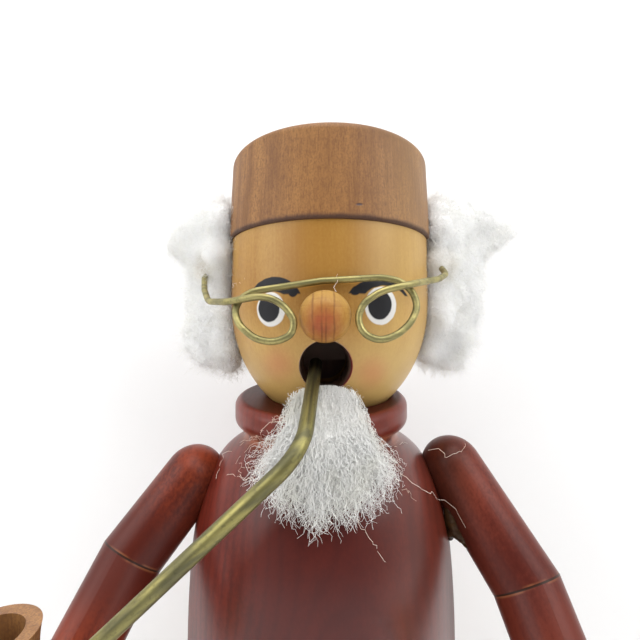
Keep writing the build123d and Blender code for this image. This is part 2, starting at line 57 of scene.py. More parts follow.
# Head and cap, as the frame has them, for paint and for wool that must lie outside them.
HEAD_LOW, HEAD_HIGH = [Vector(corner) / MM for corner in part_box("head")]
CAP_LOW, CAP_HIGH = [Vector(corner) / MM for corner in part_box("cap")]
HEAD_X = 0.5 * (HEAD_LOW.x + HEAD_HIGH.x)
HEAD_R = 0.5 * (HEAD_HIGH.x - HEAD_LOW.x)
CAP_R = 0.5 * (CAP_HIGH.x - CAP_LOW.x)
HEAD_MID_Z = 146.3
HEAD_DROP = 20.6
FACE_X = 0.6
MOUTH_Z = 136.4
MOUTH_R = 3.7

# Painted face, seen from the front: middle (x, z), half sizes and tilt in degrees.
PAINT_EDGE = 0.10
EYE_WHITES = [((-7.1, 144.35), (2.1, 2.4), 8.0), ((8.15, 144.8), (2.3, 2.6), -10.0)]
PUPILS = [((-7.35, 144.5), (1.6, 1.9), 6.0), ((8.0, 144.9), (1.75, 2.0), -8.0)]
BROW_OUTER = [((-6.7, 144.9), (4.2, 3.95), 0.0), ((8.0, 144.5), (5.0, 4.0), 0.0)]
BROW_INNER = [((-7.4, 143.7), (3.9, 3.2), 0.0), ((8.9, 143.9), (4.0, 3.7), 0.0)]
BROW_ENDS = [((-3.85, 146.7), (0.7, 0.75), 0.0), ((4.7, 146.8), (0.9, 0.6), 30.0)]
BROW_FOOT_Z = 146.2
CHEEKS = [(-6.2, 136.6), (7.2, 135.4)]
CHEEK_R = 3.8
NOSE_BLUSH = (0.1, 142.3)
NOSE_BLUSH_R = 3.5
NOSE_LINES = (-1.07, 0.0, 0.53, 1.5)
CAP_DENT = (5.1, 158.35)
TEMPLE_STAIN_Z = (142.5, 152.5)

# Arms: the ways the grain runs, the middles of the elbows' seams, and how far beside the coat the glaze is
# darkened as painted shade.
GRAIN_UPPER_RIGHT = (-8.0, -3.95, -10.75)
GRAIN_UPPER_LEFT = (7.7, -7.9, -14.0)
GRAIN_FORE_RIGHT = (-5.0, -13.15, -14.45)
GRAIN_FORE_LEFT = (2.0, -12.2, -14.7)
ELBOW_RIGHT = (-28.9, -7.85, 106.95)
ELBOW_LEFT = (29.2, -11.8, 105.2)
SEAM_W = 0.17
SLEEVE_INNER_R = (20.5, 26.5)
SLEEVE_INNER_Z = (104.0, 108.0)

# Pipe: the ways its stem runs from the bend to the bowl and to the mouth,
# and where along Y its bend and the start of its near-black end are.
STEM_TO_BOWL = (-32.4, -4.0, -22.5)
STEM_TO_MOUTH = (1.3, 14.6, 8.5)
STEM_BEND_Y = -22.8
DARK_END_Y = -14.8

# Coat: the way its grain runs, where the pith lies in the log when the grain is upright,
# the collar's top face, and the groove under the collar, which is painted orange as painted light.
COAT_GRAIN = (0.02, 0.35, 1.0)
COAT_PITH = (1.0, -48.3)
COLLAR_RING_R = (13.4, 14.2)
COLLAR_TOP_Z = 127.0
GROOVE_Z = (123.0, 126.4)

# Wool: a tuft's puffs are places and radii, hugs lie close to the head, and the fringe goes round its back.
WOOL_SEED = 11
WOOL_GAP = 0.06
CORE_VOXEL = 0.55
CORE_SMOOTHING = 18
WOOL_GLOW = (1.0, 1.0, 0.97)
TRIANGLES_MOST = 190000
FIBRE_SIDES = 3
TUFT_RIGHT = [
    (-22.0, 2.0, 158.8, 5.2),
    (-19.8, 2.6, 163.6, 3.2),
    (-25.2, 1.6, 157.0, 3.0),
    (-21.6, 4.6, 161.0, 4.2),
    (-20.2, 1.2, 153.4, 4.0),
    (-20.8, 2.0, 147.4, 4.0),
    (-21.2, 1.8, 142.0, 3.8),
    (-22.3, 2.2, 139.4, 2.7),
    (-19.6, 0.8, 138.4, 3.6),
    (-16.8, 0.4, 136.6, 2.7),
    (-19.0, 5.4, 146.0, 3.6),
    (-18.6, 5.6, 152.0, 3.8),
    (-18.9, -0.6, 150.6, 3.4),
    (-18.7, -0.6, 145.2, 3.4),
    (-18.4, -0.8, 140.8, 3.0),
    (-20.6, 0.0, 156.0, 3.6),
]
TUFT_LEFT = [
    (24.2, 2.2, 160.6, 4.9),
    (22.4, 2.0, 164.0, 3.2),
    (24.8, 2.0, 164.3, 2.9),
    (27.6, 2.2, 161.8, 3.4),
    (30.6, 2.2, 161.0, 3.1),
    (33.2, 2.0, 160.3, 2.5),
    (35.0, 2.0, 159.9, 1.6),
    (29.2, 2.0, 157.4, 2.7),
    (31.6, 2.0, 158.5, 2.3),
    (25.8, 1.8, 154.4, 4.0),
    (25.6, 1.6, 149.8, 4.0),
    (24.6, 1.4, 145.2, 4.1),
    (23.9, 1.2, 140.6, 3.8),
    (23.0, 0.8, 136.9, 2.8),
    (19.9, 0.4, 137.8, 2.7),
    (20.6, 1.6, 143.0, 3.4),
    (21.8, 5.6, 147.0, 3.8),
    (22.2, 5.8, 153.4, 4.0),
    (22.0, -0.8, 152.6, 3.7),
    (22.4, -0.8, 147.6, 3.6),
    (21.8, -0.8, 142.8, 3.3),
    (22.2, 0.0, 157.4, 3.8),
    (22.0, 0.2, 139.0, 2.9),
]
HUG_LOW_Z = 138.8
HUG_HIGH_Z = 161.5
HUG_FORWARD = 14.0
HUG_R = 2.4
HUG_STEPS = 17
FRINGE_ANGLES = [28 + 6.2 * step for step in range(21)]
FRINGE_LOW_Z = 140.5
FRINGE_HIGH_Z = 152.5
FRINGE_R = 2.4
FRINGE_STEPS = 5
GLUE_STAINS = [(-19.2, -3.0, 152.0), (19.8, -4.0, 152.6)]

# Coat: radius at each height, for fibres that lie on it.
COAT_ROWS = [
    (104.9, 21.5),
    (110.5, 20.9),
    (115.1, 19.75),
    (118.0, 18.75),
    (120.2, 17.55),
    (122.0, 15.9),
    (123.5, 13.6),
    (124.5, 13.0),
    (125.5, 14.0),
    (126.3, 14.6),
    (127.4, 14.8),
]
COAT_GAP = 0.35
ARM_R = 4.8

# Beard: at each height its half width and the radii of its back and front about the body's axis.
BEARD_ROWS = [
    (117.0, 8.9, 19.5, 21.2),
    (120.2, 8.9, 18.2, 21.4),
    (121.8, 8.7, 16.9, 21.3),
    (123.5, 7.9, 15.5, 21.0),
    (124.8, 7.1, 15.4, 20.6),
    (128.0, 5.2, 15.4, 19.2),
    (129.2, 4.8, 15.2, 18.2),
    (130.2, 4.7, 13.2, 17.1),
    (131.5, 4.4, 12.4, 15.8),
    (133.4, 4.1, 13.3, 14.6),
    (134.3, 3.9, 13.8, 14.6),
]
BEARD_ROOT_Z = 133.9
BEARD_ROOT_H = 3.6
BEARD_TIP_Z = 117.2
BEARD_CORE_W = 0.83
BEARD_CORE_L = 0.68
BEARD_LOCKS = 16
BEARD_TOP_X = 0.5
BEARD_LOW_X = 0.7

# Loose fibres lying on the coat, the collar and the left arm.
LOOSE = [
    [(-4.1, -13.9, 129.1), (-6.6, -13.1, 128.5), (-8.7, -11.5, 126.5), (-12.0, -5.2, 123.5)],
    [
        (-4.4, -13.9, 127.2), (-7.2, -12.2, 125.8), (-9.8, -8.5, 124.5),
        (-11.8, -8.6, 122.6), (-12.2, -10.3, 121.5),
    ],
    [(-11.6, -5.9, 123.7), (-15.1, -6.0, 121.3), (-15.6, -7.8, 120.3), (-15.8, -8.9, 118.9)],
    [(-5.3, -12.6, 123.5), (-8.8, -11.2, 123.0), (-10.9, -11.0, 121.9), (-11.2, -12.2, 121.0)],
    [(-8.3, -14.6, 120.9), (-11.0, -12.8, 120.8), (-13.5, -10.8, 120.5)],
    [
        (10.7, -12.4, 121.2), (13.2, -12.3, 119.2), (17.1, -8.9, 116.2),
        (19.9, -9.5, 115.6), (21.0, -10.7, 113.1),
    ],
    [(11.1, -7.9, 123.5), (13.1, -4.5, 123.3), (14.9, -2.6, 122.3)],
    [
        (4.4, -19.2, 118.2), (5.4, -18.9, 116.2), (6.7, -18.8, 115.1),
        (6.9, -18.9, 113.7), (7.7, -18.8, 112.7),
    ],
    [
        (17.8, -5.4, 122.3), (19.0, -6.8, 122.5), (19.2, -7.7, 121.6),
        (20.6, -7.7, 122.4), (23.0, -6.3, 123.4),
    ],
    [(-6.0, -13.3, 127.6), (-8.0, -12.0, 126.9), (-9.4, -10.6, 125.4), (-10.6, -8.6, 124.9)],
    [(-5.2, -14.9, 122.2), (-7.4, -14.0, 121.9), (-9.4, -13.2, 121.0), (-10.2, -13.4, 119.9)],
    [(9.4, -13.2, 121.6), (10.9, -13.6, 119.6), (12.6, -13.6, 118.0)],
    [(1.9, -18.6, 146.4), (1.5, -18.7, 147.2), (2.1, -18.6, 147.8), (1.7, -18.5, 148.5)],
    [(-14.4, -6.4, 148.4), (-13.4, -8.4, 148.7), (-12.4, -9.9, 148.4), (-11.5, -11.0, 148.9)],
]
LOOSE_STEPS = 10

# Stray fibres at the beard's right side.
STRAY_COUNT = 64
STRAY_LOW_Z = 121.0
STRAY_HIGH_Z = 129.6
STRAY_LONGEST = 6.5

# Fibres of each kind: points along one, size of its crimp, length of a kink, and thickness.
FLUFF = {"points": 6, "crimp": 0.8, "kink": 1.2, "thickness": 0.065}
BEARD_FIBRE = {"points": 40, "crimp": 0.95, "kink": 0.42, "thickness": 0.08}
BEARD_FUZZ = {"points": 8, "crimp": 0.75, "kink": 0.42, "thickness": 0.06}
LOOSE_FIBRE = {"points": 14, "crimp": 1.3, "kink": 0.7, "thickness": 0.095}
FLUFF_COUNTS = {"hair_right": 10000, "hair_left": 11000, "hair_back": 6400}
FLUFF_LENGTH = 3.0
FLUFF_LIFT = 1.4
BEARD_COUNT = 2400
FUZZ_COUNT = 2000
FUZZ_LENGTH = 2.1
FUZZ_LIFT = 0.35
FUZZ_FALL = 1.0

# Run of glue that has oozed out between the left arm and the coat: drops as places and radii.
GLUE_DROPS = [
    (20.0, -7.6, 113.4, 1.0),
    (20.1, -7.9, 112.6, 1.1),
    (20.3, -8.1, 111.8, 1.1),
    (20.4, -8.2, 111.1, 1.1),
    (20.9, -8.4, 110.7, 1.1),
    (21.5, -8.6, 110.3, 1.1),
    (22.2, -8.9, 109.6, 1.0),
    (19.9, -7.6, 110.4, 0.9),
    (19.9, -7.3, 109.6, 0.7),
    (19.5, -7.2, 112.0, 0.9),
    (19.6, -7.2, 111.2, 0.9),
]
GLUE_VOXEL = 0.12
GLUE_SMOOTHING = 5

# Lamps: name, place, width and power. All look at one point.
LAMPS = [
    ("key_lamp", (280, -225, 340), 300, 0.80),
    ("fill_lamp", (-315, -195, 265), 320, 0.68),
    ("top_lamp", (0, -140, 495), 380, 1.05),
    ("rear_lamp", (-60, 420, 330), 320, 0.60),
]
LAMP_AIM = (0.0, 0.0, 130.0)

# Light of the world at the sides and in front; half width of the floor and the sheet, and their glow.
WORLD_SIDE = (0.95, 0.95, 0.95, 1.0)
WORLD_FRONT = (0.12, 0.12, 0.12, 1.0)
STAGE_HALF = 3000.0
BACK_SHEET_Y = 38.0
STAGE_GLOW = 0.05


class Flow:
    """One socket of a node tree. Sums of sockets add Math nodes, and make() adds any other node."""

    def __init__(self, tree, socket=None):
        self.tree = tree
        self.socket = socket

    def make(self, kind, settings=None, sockets=None, out=0):
        """Adds a node: its settings are set first, then the values or links of its sockets."""
        node = self.tree.nodes.new(kind)
        for name, value in (settings or {}).items():
            setattr(node, name, value)
        for key, value in (sockets or {}).items():
            if isinstance(value, Flow):
                self.tree.links.new(value.socket, node.inputs[key])
            else:
                node.inputs[key].default_value = value
        return Flow(self.tree, node.outputs[out] if node.outputs else None)

    def also(self, out):
        """Another output of the same node."""
        return Flow(self.tree, self.socket.node.outputs[out])

    def math(self, operation, *others):
        """A Math node on this value and any others."""
        return self.make("ShaderNodeMath", {"operation": operation}, dict(enumerate((self, *others))))

    def __add__(self, other):
        return self.math("ADD", other)

    __radd__ = __add__

    def __sub__(self, other):
        return self.math("SUBTRACT", other)

    def __rsub__(self, other):
        return self.make("ShaderNodeMath", {"operation": "SUBTRACT"}, {0: other, 1: self})

    def __mul__(self, other):
        return self.math("MULTIPLY", other)

    __rmul__ = __mul__

    def __truediv__(self, other):
        return self.math("DIVIDE", other)

    def __pow__(self, other):
        return self.math("POWER", other)

    def vector(self, operation, *values):
        return self.make("ShaderNodeVectorMath", {"operation": operation}, dict(enumerate(values)))

    def split(self):
        """The three parts of a vector."""
        first = self.make("ShaderNodeSeparateXYZ", None, {0: self})
        return first, first.also(1), first.also(2)

    def step(self, low, high):
        """0 at low, 1 at high and smooth between them; low may be the larger."""
        sockets = {"Value": self, "From Min": low, "From Max": high}
        return self.make("ShaderNodeMapRange", {"interpolation_type": "SMOOTHSTEP"}, sockets)

    def mix(self, first, second):
        """Colour that goes from first to second as this value goes from 0 to 1."""
        return self.make("ShaderNodeMix", {"data_type": "RGBA"}, {0: self, 6: first, 7: second}, out=2)

    def cloud(self, per_mm, detail=2.0, seed=0.0):
        """Noise at this place, with its own count of waves in a millimetre along each axis."""
        moved = self.vector("MULTIPLY_ADD", self, per_mm, (seed, 1.7 * seed, 0.6 * seed))
        return self.make("ShaderNodeTexNoise", None, {"Vector": moved, "Scale": 1.0, "Detail": detail})

    def measure(self, operation, other):
        """One number from two vectors, such as their distance."""
        return self.make("ShaderNodeVectorMath", {"operation": operation}, {0: self, 1: other}, out=1)


def rgb(red, green, blue):
    return (red, green, blue, 1.0)


def new_finish(name, constants):
    """A new material with its constant values, its shader, and the place on the piece in millimetres."""
    made = bpy.data.materials.new(name)
    made.use_nodes = True
    shader = made.node_tree.nodes["Principled BSDF"]
    for key, value in constants.items():
        shader.inputs[key].default_value = value
    where = Flow(made.node_tree).make("ShaderNodeTexCoord", out="Object")
    return made, shader, where.vector("MULTIPLY", where, (1 / MM, 1 / MM, 1 / MM))


def connect(shader, **flows):
    """Joins worked-out values to the shader's sockets of those names."""
    for name, flow in flows.items():
        socket = shader.inputs[name.replace("_", " ").title()]
        flow.tree.links.new(flow.socket, socket)


def relief(height, depth):
    """Surface relief from a height of 0 to 1, with its depth in millimetres."""
    return height.make("ShaderNodeBump", None, {"Strength": 1.0, "Distance": depth * MM, "Height": height})


def timber(place, fibre=(0, 0, 1), pith=(0, 40), ring=1.6, seed=0.0):
    """Rings, long streaks and short dark flecks of wood whose grain runs along fibre, each 0 to 1."""
    turn = Vector(fibre).rotation_difference(Vector((0, 0, 1))).to_euler()
    log = place.make("ShaderNodeMapping", None, {"Vector": place, "Rotation": turn})
    x, y, _ = log.split()
    across = x - pith[0]
    deep = y - pith[1]
    wander = log.cloud((0.07, 0.07, 0.02), 2.0, seed)
    radius = (across * across + deep * deep) ** 0.5 + 5.0 * wander
    rings = ((radius * (2 * math.pi / ring)).math("SINE") * 0.5 + 0.5) ** 2.0
    streaks = log.cloud((2.4, 2.4, 0.05), 3.0, seed + 3)
    flecks = log.cloud((4.2, 4.2, 0.42), 2.0, seed + 7).step(0.60, 0.72)
    return rings, streaks, flecks


def oval(x, z, middle, half, tilt):
    """1 inside a painted oval, 0 outside."""
    turn = math.radians(tilt)
    right = (x - middle[0]) * math.cos(turn) + (z - middle[1]) * math.sin(turn)
    up = (z - middle[1]) * math.cos(turn) - (x - middle[0]) * math.sin(turn)
    reach = ((right / half[0]) ** 2.0 + (up / half[1]) ** 2.0) ** 0.5
    edge = PAINT_EDGE / min(half)
    return reach.step(1 + edge, 1 - edge)


HONEY = {"Roughness": 0.4, "Coat Weight": 0.3, "Coat Roughness": 0.36, "Specular IOR Level": 0.3}
NOSE_GLOSS = {**HONEY, "Coat Weight": 0.05, "Specular IOR Level": 0.2}
BROWN_GLOSS = {"Coat Weight": 0.12, "Coat Roughness": 0.35, "Specular IOR Level": 0.4}
CAP_GLOSS = {"Coat Weight": 0.04, "Coat Roughness": 0.4, "Specular IOR Level": 0.25}


def honey_colour(place, fibre=(0, 0, 1), seed=0.0):
    """Pale wood under a yellowed clear varnish."""
    rings, streaks, flecks = timber(place, fibre, (3.0, 34.0), 2.2, seed)
    shade = place.cloud((0.11, 0.11, 0.07), 3.0, seed + 1)
    speckle = place.cloud((3.2, 3.2, 2.2), 3.0, seed + 11)
    tone = rings * 0.07 + streaks * 0.20 + shade * 0.68 + speckle * 0.35
    colour = tone.step(0.28, 0.92).mix(rgb(0.53, 0.315, 0.072), rgb(0.34, 0.152, 0.020))
    return (flecks * 0.2).mix(colour, rgb(0.24, 0.10, 0.022)), streaks


def face_varnish():
    """Honey varnish with the painted eyes, brows and cheeks; painted shade down the middle of the forehead,
    painted light on the figure's left side of the face, and a mouth whose bore and red lip are painted
    paler than its dark paint, as painted light.
    """
    made, shader, place = new_finish("face_varnish", HONEY)
    x, y, z = place.split()
    colour, streaks = honey_colour(place, seed=2.0)
    colour = (z.step(147.0, 133.0) * 0.6).mix(colour, rgb(0.55, 0.37, 0.130))
    side = (x - HEAD_X).math("ABSOLUTE")
    # Painted shade down the middle of the forehead.
    deep = side.step(14.0, 3.0) * z.step(144.0, 149.0)
    colour = (deep * 0.55).mix(colour, rgb(0.27, 0.120, 0.013))
    # Painted light: paler on the figure's left side of the face.
    colour = (x.step(3.0, 10.0) * y.step(2.0, -4.0) * 0.35).mix(colour, rgb(0.60, 0.42, 0.15))
    wobble = place.cloud((0.9, 0.9, 0.9), 2.0, 4.0) - 0.5
    wx = x + wobble * 0.18
    wz = z - wobble * 0.18
    front = y.step(-4.0, -6.0)
    low, high = TEMPLE_STAIN_Z
    stain = z.step(low, low + 3) * z.step(high, high - 3)
    stain = stain * side.step(14.6, 16.4) * place.cloud((0.5, 0.5, 0.5), 3.0, 6.0).step(0.30, 0.55)
    colour = (stain * 0.75).mix(colour, rgb(0.20, 0.095, 0.022))
    for cheek in CHEEKS:
        soft = ((x - cheek[0]) ** 2.0 + (z - cheek[1]) ** 2.0) ** 0.5
        colour = (soft.step(CHEEK_R, 0.0) * front * 0.42).mix(colour, rgb(0.52, 0.14, 0.06))
    paint = front * 0.0
    for white, pupil, outer, inner, end in zip(EYE_WHITES, PUPILS, BROW_OUTER, BROW_INNER, BROW_ENDS):
        ball = oval(wx, wz, *white) * front
        dark = oval(wx, wz, *pupil) * front
        brow = oval(wx, wz, *outer) * (1 - oval(wx, wz, *inner)) * z.step(BROW_FOOT_Z, BROW_FOOT_Z + 0.3)
        brow = brow.math("MAXIMUM", oval(wx, wz, *end)) * front
        colour = ball.mix(colour, rgb(0.74, 0.73, 0.70))
        colour = dark.mix(colour, rgb(0.009, 0.009, 0.012))
        colour = brow.mix(colour, rgb(0.006, 0.006, 0.009))
        paint = paint + ball + brow
    mouth = ((x - FACE_X) ** 2.0 + (z - MOUTH_Z) ** 2.0) ** 0.5
    throat = mouth.step(MOUTH_R + 0.10, MOUTH_R + 0.02) * y.step(6.0, 4.0)
    lip = y.step(-10.5, -13.5) * (x - z).step(FACE_X - MOUTH_Z - 2.0, FACE_X - MOUTH_Z + 3.5)
    # Painted light: the bore and its red lip are painted paler than the dark paint inside the mouth, so
    # that they show lit.
    colour = throat.mix(colour, lip.mix(rgb(0.30, 0.20, 0.15), rgb(0.24, 0.018, 0.024)))
    connect(
        shader,
        base_color=colour,
        coat_weight=0.3 - paint.math("MINIMUM", 1.0) * 0.2,
        roughness=0.42 + streaks * 0.12 + throat * 0.3 + paint * 0.1,
        normal=relief(streaks * 0.35 + paint.math("MINIMUM", 1.0), 0.03),
    )
    return made


def nose_varnish():
    """Honey varnish over upright grain lines, with a red blush and a painted highlight along its top."""
    made, shader, place = new_finish("nose_varnish", NOSE_GLOSS)
    x, _, z = place.split()
    colour, streaks = honey_colour(place, seed=9.0)
    colour = (streaks * 0.34).mix(colour, rgb(0.20, 0.085, 0.028))
    sway = (place.cloud((0.4, 0.1, 0.35), 2.0, 21.0) - 0.5) * 0.5
    lines = x * 0.0
    for middle in NOSE_LINES:
        away = (x - middle + sway).math("ABSOLUTE")
        lines = lines + away.step(0.20, 0.04)
    lines = lines * place.cloud((0.8, 0.1, 0.5), 2.0, 3.0).step(0.25, 0.6)
    # Painted highlight along the top of the nose.
    colour = (z.step(144.0, 145.4) * 0.3).mix(colour, rgb(0.50, 0.33, 0.12))
    away = ((x - NOSE_BLUSH[0]) ** 2.0 + (z - NOSE_BLUSH[1]) ** 2.0) ** 0.5
    patchy = place.cloud((0.8, 0.8, 0.8), 2.0, 5.0) * 0.5 + 0.55
    colour = (away.step(NOSE_BLUSH_R, 0.4) * patchy * 0.95).mix(colour, rgb(0.28, 0.045, 0.024))
    hatch = place.cloud((0.35, 0.1, 4.5), 2.0, 31.0).step(0.55, 0.7)
    colour = (hatch * 0.22).mix(colour, rgb(0.16, 0.045, 0.018))
    colour = (lines * 0.52).mix(colour, rgb(0.12, 0.036, 0.012))
    connect(shader, base_color=colour, roughness=0.46 + streaks * 0.15, normal=relief(lines, 0.02))
    return made


def plain_varnish(name, fibre, seed):
    """Honey varnish for the hands and the base."""
    made, shader, place = new_finish(name, HONEY)
    colour, streaks = honey_colour(place, fibre, seed)
    connect(shader, base_color=colour, roughness=0.34 + streaks * 0.14, normal=relief(streaks, 0.015))
    return made


def brown_colour(place, fibre, seed):
    """Open-grained wood under a brown stain, with its pores as short dark flecks."""
    rings, streaks, flecks = timber(place, fibre, (-8.0, 30.0), 2.6, seed)
    pores = place.cloud((5.5, 5.5, 0.9), 3.0, seed + 13).step(0.44, 0.74)
    shade = place.cloud((0.16, 0.16, 0.10), 3.0, seed + 5)
    tone = rings * 0.20 + streaks * 0.5 + shade * 0.85
    colour = tone.step(0.45, 1.05).mix(rgb(0.36, 0.176, 0.056), rgb(0.195, 0.086, 0.028))
    colour = (flecks * 0.22).mix(colour, rgb(0.11, 0.048, 0.028))
    speckle = place.cloud((4.5, 4.5, 3.2), 2.0, seed + 17).step(0.40, 0.72)
    colour = (pores * 0.75).mix(colour, rgb(0.15, 0.064, 0.026))
    return (speckle * 0.6).mix(colour, rgb(0.15, 0.064, 0.028)), streaks, flecks


def brown_stain(name, fibre, seed):
    """Brown stain for the legs, the hips and the pipe's bowl."""
    made, shader, place = new_finish(name, BROWN_GLOSS)
    colour, streaks, flecks = brown_colour(place, fibre, seed)
    height = streaks - flecks * 0.6
    connect(shader, base_color=colour, roughness=0.46 + streaks * 0.15, normal=relief(height, 0.02))
    return made


def cap_stain():
    """Brown stain, darker along the lower edge where stain gathered and as painted shade on the rounded
    edge, with painted shade down the middle, a painted sheen towards the left, and a small dent.
    """
    made, shader, place = new_finish("cap_stain", CAP_GLOSS)
    x, y, z = place.split()
    colour, streaks, flecks = brown_colour(place, (0, 0, 1), 1.0)
    # Darker along the lower edge: partly stain gathered there, partly painted shade on the rounded edge.
    rim_stain_and_shade = (z + place.cloud((0.5, 0.5, 0.5), 2.0, 3.0) * 0.5).step(CAP_LOW.z + 1.15, CAP_LOW.z + 0.45)
    # Painted shade down the middle of the cap.
    colour = (x.math("ABSOLUTE").step(9.0, 2.0) * 0.3).mix(colour, rgb(0.20, 0.085, 0.024))
    # Painted sheen: paler towards the figure's left.
    colour = (x.step(5.0, 14.0) * 0.25).mix(colour, rgb(0.40, 0.27, 0.14))
    colour = (rim_stain_and_shade * 0.82).mix(colour, rgb(0.045, 0.022, 0.020))
    dent = oval(x, z, CAP_DENT, (0.42, 0.16), 6.0) * y.step(0.0, -4.0)
    colour = (dent * 0.85).mix(colour, rgb(0.05, 0.045, 0.06))
    height = streaks - flecks * 0.6 - dent * 4.0
    connect(shader, base_color=colour, roughness=0.46 + streaks * 0.15, normal=relief(height, 0.02))
    return made


COAT_GLOSS = {"Roughness": 0.4, "Coat Weight": 0.5, "Coat Roughness": 0.32, "Specular IOR Level": 0.09}
SLEEVE_GLOSS = {"Roughness": 0.4, "Coat Weight": 0.2, "Coat Roughness": 0.40, "Specular IOR Level": 0.1}


def red_colour(place, fibre, pith, figure, light, dark, seed):
    """Wood under a red glaze, dark where the grain drank more; figure weighs its rings and streaks."""
    rings, streaks, flecks = timber(place, fibre, pith, 1.1, seed)
    shade = place.cloud((0.16, 0.16, 0.08), 3.0, seed + 2)
    speckle = place.cloud((2.4, 2.4, 1.5), 4.0, seed + 9)
    tone = rings * figure[0] + streaks * figure[1] + shade * 0.9 + speckle * 0.5
    colour = tone.step(0.55, 1.1).mix(light, dark)
    return (flecks * 0.12).mix(colour, rgb(0.035, 0.007, 0.005)), streaks


def coat_glaze():
    """Red glaze on the coat and collar, with painted shade on the front middle, a painted highlight on the
    collar's band, and the groove under the collar painted orange as painted light.
    """
    made, shader, place = new_finish("coat_glaze", COAT_GLOSS)
    x, y, z = place.split()
    light, dark = rgb(0.170, 0.022, 0.011), rgb(0.080, 0.010, 0.006)
    colour, streaks = red_colour(place, COAT_GRAIN, COAT_PITH, (0.16, 0.10), light, dark, 4.0)
    # Painted shade on the front middle of the coat, below the collar.
    thick = x.math("ABSOLUTE").step(15.0, 5.0) * y.step(-8.0, -14.0) * z.step(127.0, 123.0)
    colour = (thick * 0.75).mix(colour, rgb(0.048, 0.0055, 0.004))
    colour = (x.step(4.0, 13.0) * 0.38).mix(colour, rgb(0.085, 0.023, 0.014))
    near, far = COLLAR_RING_R
    inside = (x * x + y * y).step(far**2, near**2) * z.step(COLLAR_TOP_Z - 1, COLLAR_TOP_Z)
    colour = (inside * 0.6).mix(colour, rgb(0.030, 0.006, 0.004))
    # Painted highlight on the collar's band below its top face.
    collar = z.step(COLLAR_TOP_Z - 2.2, COLLAR_TOP_Z - 1) * (1 - inside)
    colour = (collar * 0.28).mix(colour, rgb(0.24, 0.035, 0.018))
    # Painted light: the groove under the collar is painted orange in patches.
    low, high = GROOVE_Z
    groove = z.step(low, low + 1.2) * z.step(high, high - 1.2)
    worn = groove * place.cloud((0.5, 0.5, 0.5), 2.0, 6.0).step(0.3, 0.55)
    colour = (worn * 0.8).mix(colour, rgb(0.36, 0.095, 0.03))
    turning = (z * 9.0).math("SINE") * 0.06
    haze = x.step(5.0, 13.0) * z.step(127.0, 124.0)
    edge = x.math("ABSOLUTE").step(16.5, 20.0) * z.step(124.0, 120.0)
    connect(
        shader,
        base_color=colour,
        coat_weight=(0.5 - inside * 0.4 + haze * 0.4) * (1 - edge * 0.85),
        roughness=0.34 + streaks * 0.1,
        normal=relief(streaks * 0.3 + turning, 0.008),
    )
    return made


def sleeve_glaze(name, fibre, elbow, square, light, shade_shares, seed):
    """Red glaze on an arm, with painted shade, a dark glue line and a worn edge at the elbow's seam.

    light is the colour where the glaze is thin, and the pair after it gives the shares of painted
    shade beside the coat and towards the elbow.
    """
    made, shader, place = new_finish(name, SLEEVE_GLOSS)
    dark = rgb(0.070, 0.011, 0.007)
    colour, streaks = red_colour(place, fibre, (5.0, 9.0), (0.05, 0.14), light, dark, seed)
    x, y, z = place.split()
    near, far = SLEEVE_INNER_R
    inner = (x * x + y * y).step(far**2, near**2) * z.step(*SLEEVE_INNER_Z)
    # Painted shade on the side beside the coat.
    colour = (inner * shade_shares[0]).mix(colour, rgb(0.040, 0.012, 0.006))
    # Painted shade towards the elbow.
    colour = (place.measure("DISTANCE", elbow).step(15.0, 6.0) * shade_shares[1]).mix(colour, dark)
    normal = Vector(square).normalized()
    over = (place.measure("DOT_PRODUCT", normal) - normal.dot(Vector(elbow))).math("ABSOLUTE")
    patchy = place.cloud((0.25, 0.25, 0.25), 2.0, seed).step(0.42, 0.62)
    worn = over.step(2.6 * SEAM_W, SEAM_W) * patchy
    colour = (worn * 0.45).mix(colour, rgb(0.36, 0.14, 0.06))
    colour = over.step(SEAM_W, 0.5 * SEAM_W).mix(colour, rgb(0.030, 0.012, 0.007))
    connect(shader, base_color=colour, roughness=0.3 + streaks * 0.1, normal=relief(streaks, 0.005))
    return made


def black_stain():
    """Near-black stain on the shoes, thin enough to show the grain."""
    made, shader, place = new_finish("black_stain", {"Coat Weight": 0.3, "Coat Roughness": 0.25})
    rings, streaks, _ = timber(place, (0, 1, 0), (0.0, 20.0), 1.8, 6.0)
    tone = (rings * 0.3 + streaks * 0.6).step(0.2, 0.8)
    colour = tone.mix(rgb(0.018, 0.014, 0.013), rgb(0.045, 0.030, 0.024))
    connect(shader, base_color=colour, roughness=0.34 + streaks * 0.2, normal=relief(streaks, 0.02))
    return made


def drawn_streaks(place, run, seed, fine=0.9):
    """Streaks along the run of a drawn wire or a rolled sheet."""
    turn = Vector(run).rotation_difference(Vector((0, 0, 1))).to_euler()
    drawn = place.make("ShaderNodeMapping", None, {"Vector": place, "Rotation": turn})
    return drawn.cloud((fine, fine, 0.14), 4.0, seed)


def old_brass(name, seed, run, bright, dim):
    """Brass wire or sheet dulled to olive, with brighter rubbed streaks along its run."""
    made, shader, place = new_finish(name, {"Metallic": 1.0})
    dull = drawn_streaks(place, run, seed)
    spots = place.cloud((2.6, 2.6, 2.6), 3.0, seed + 4)
    colour = dull.step(0.34, 0.66).mix(bright, dim)
    colour = (spots.step(0.55, 0.75) * 0.4).mix(colour, rgb(0.10, 0.088, 0.048))
    connect(
        shader,
        base_color=colour,
        roughness=0.32 + dull * 0.22 + spots * 0.08,
        normal=relief(spots, 0.012),
    )
    return made


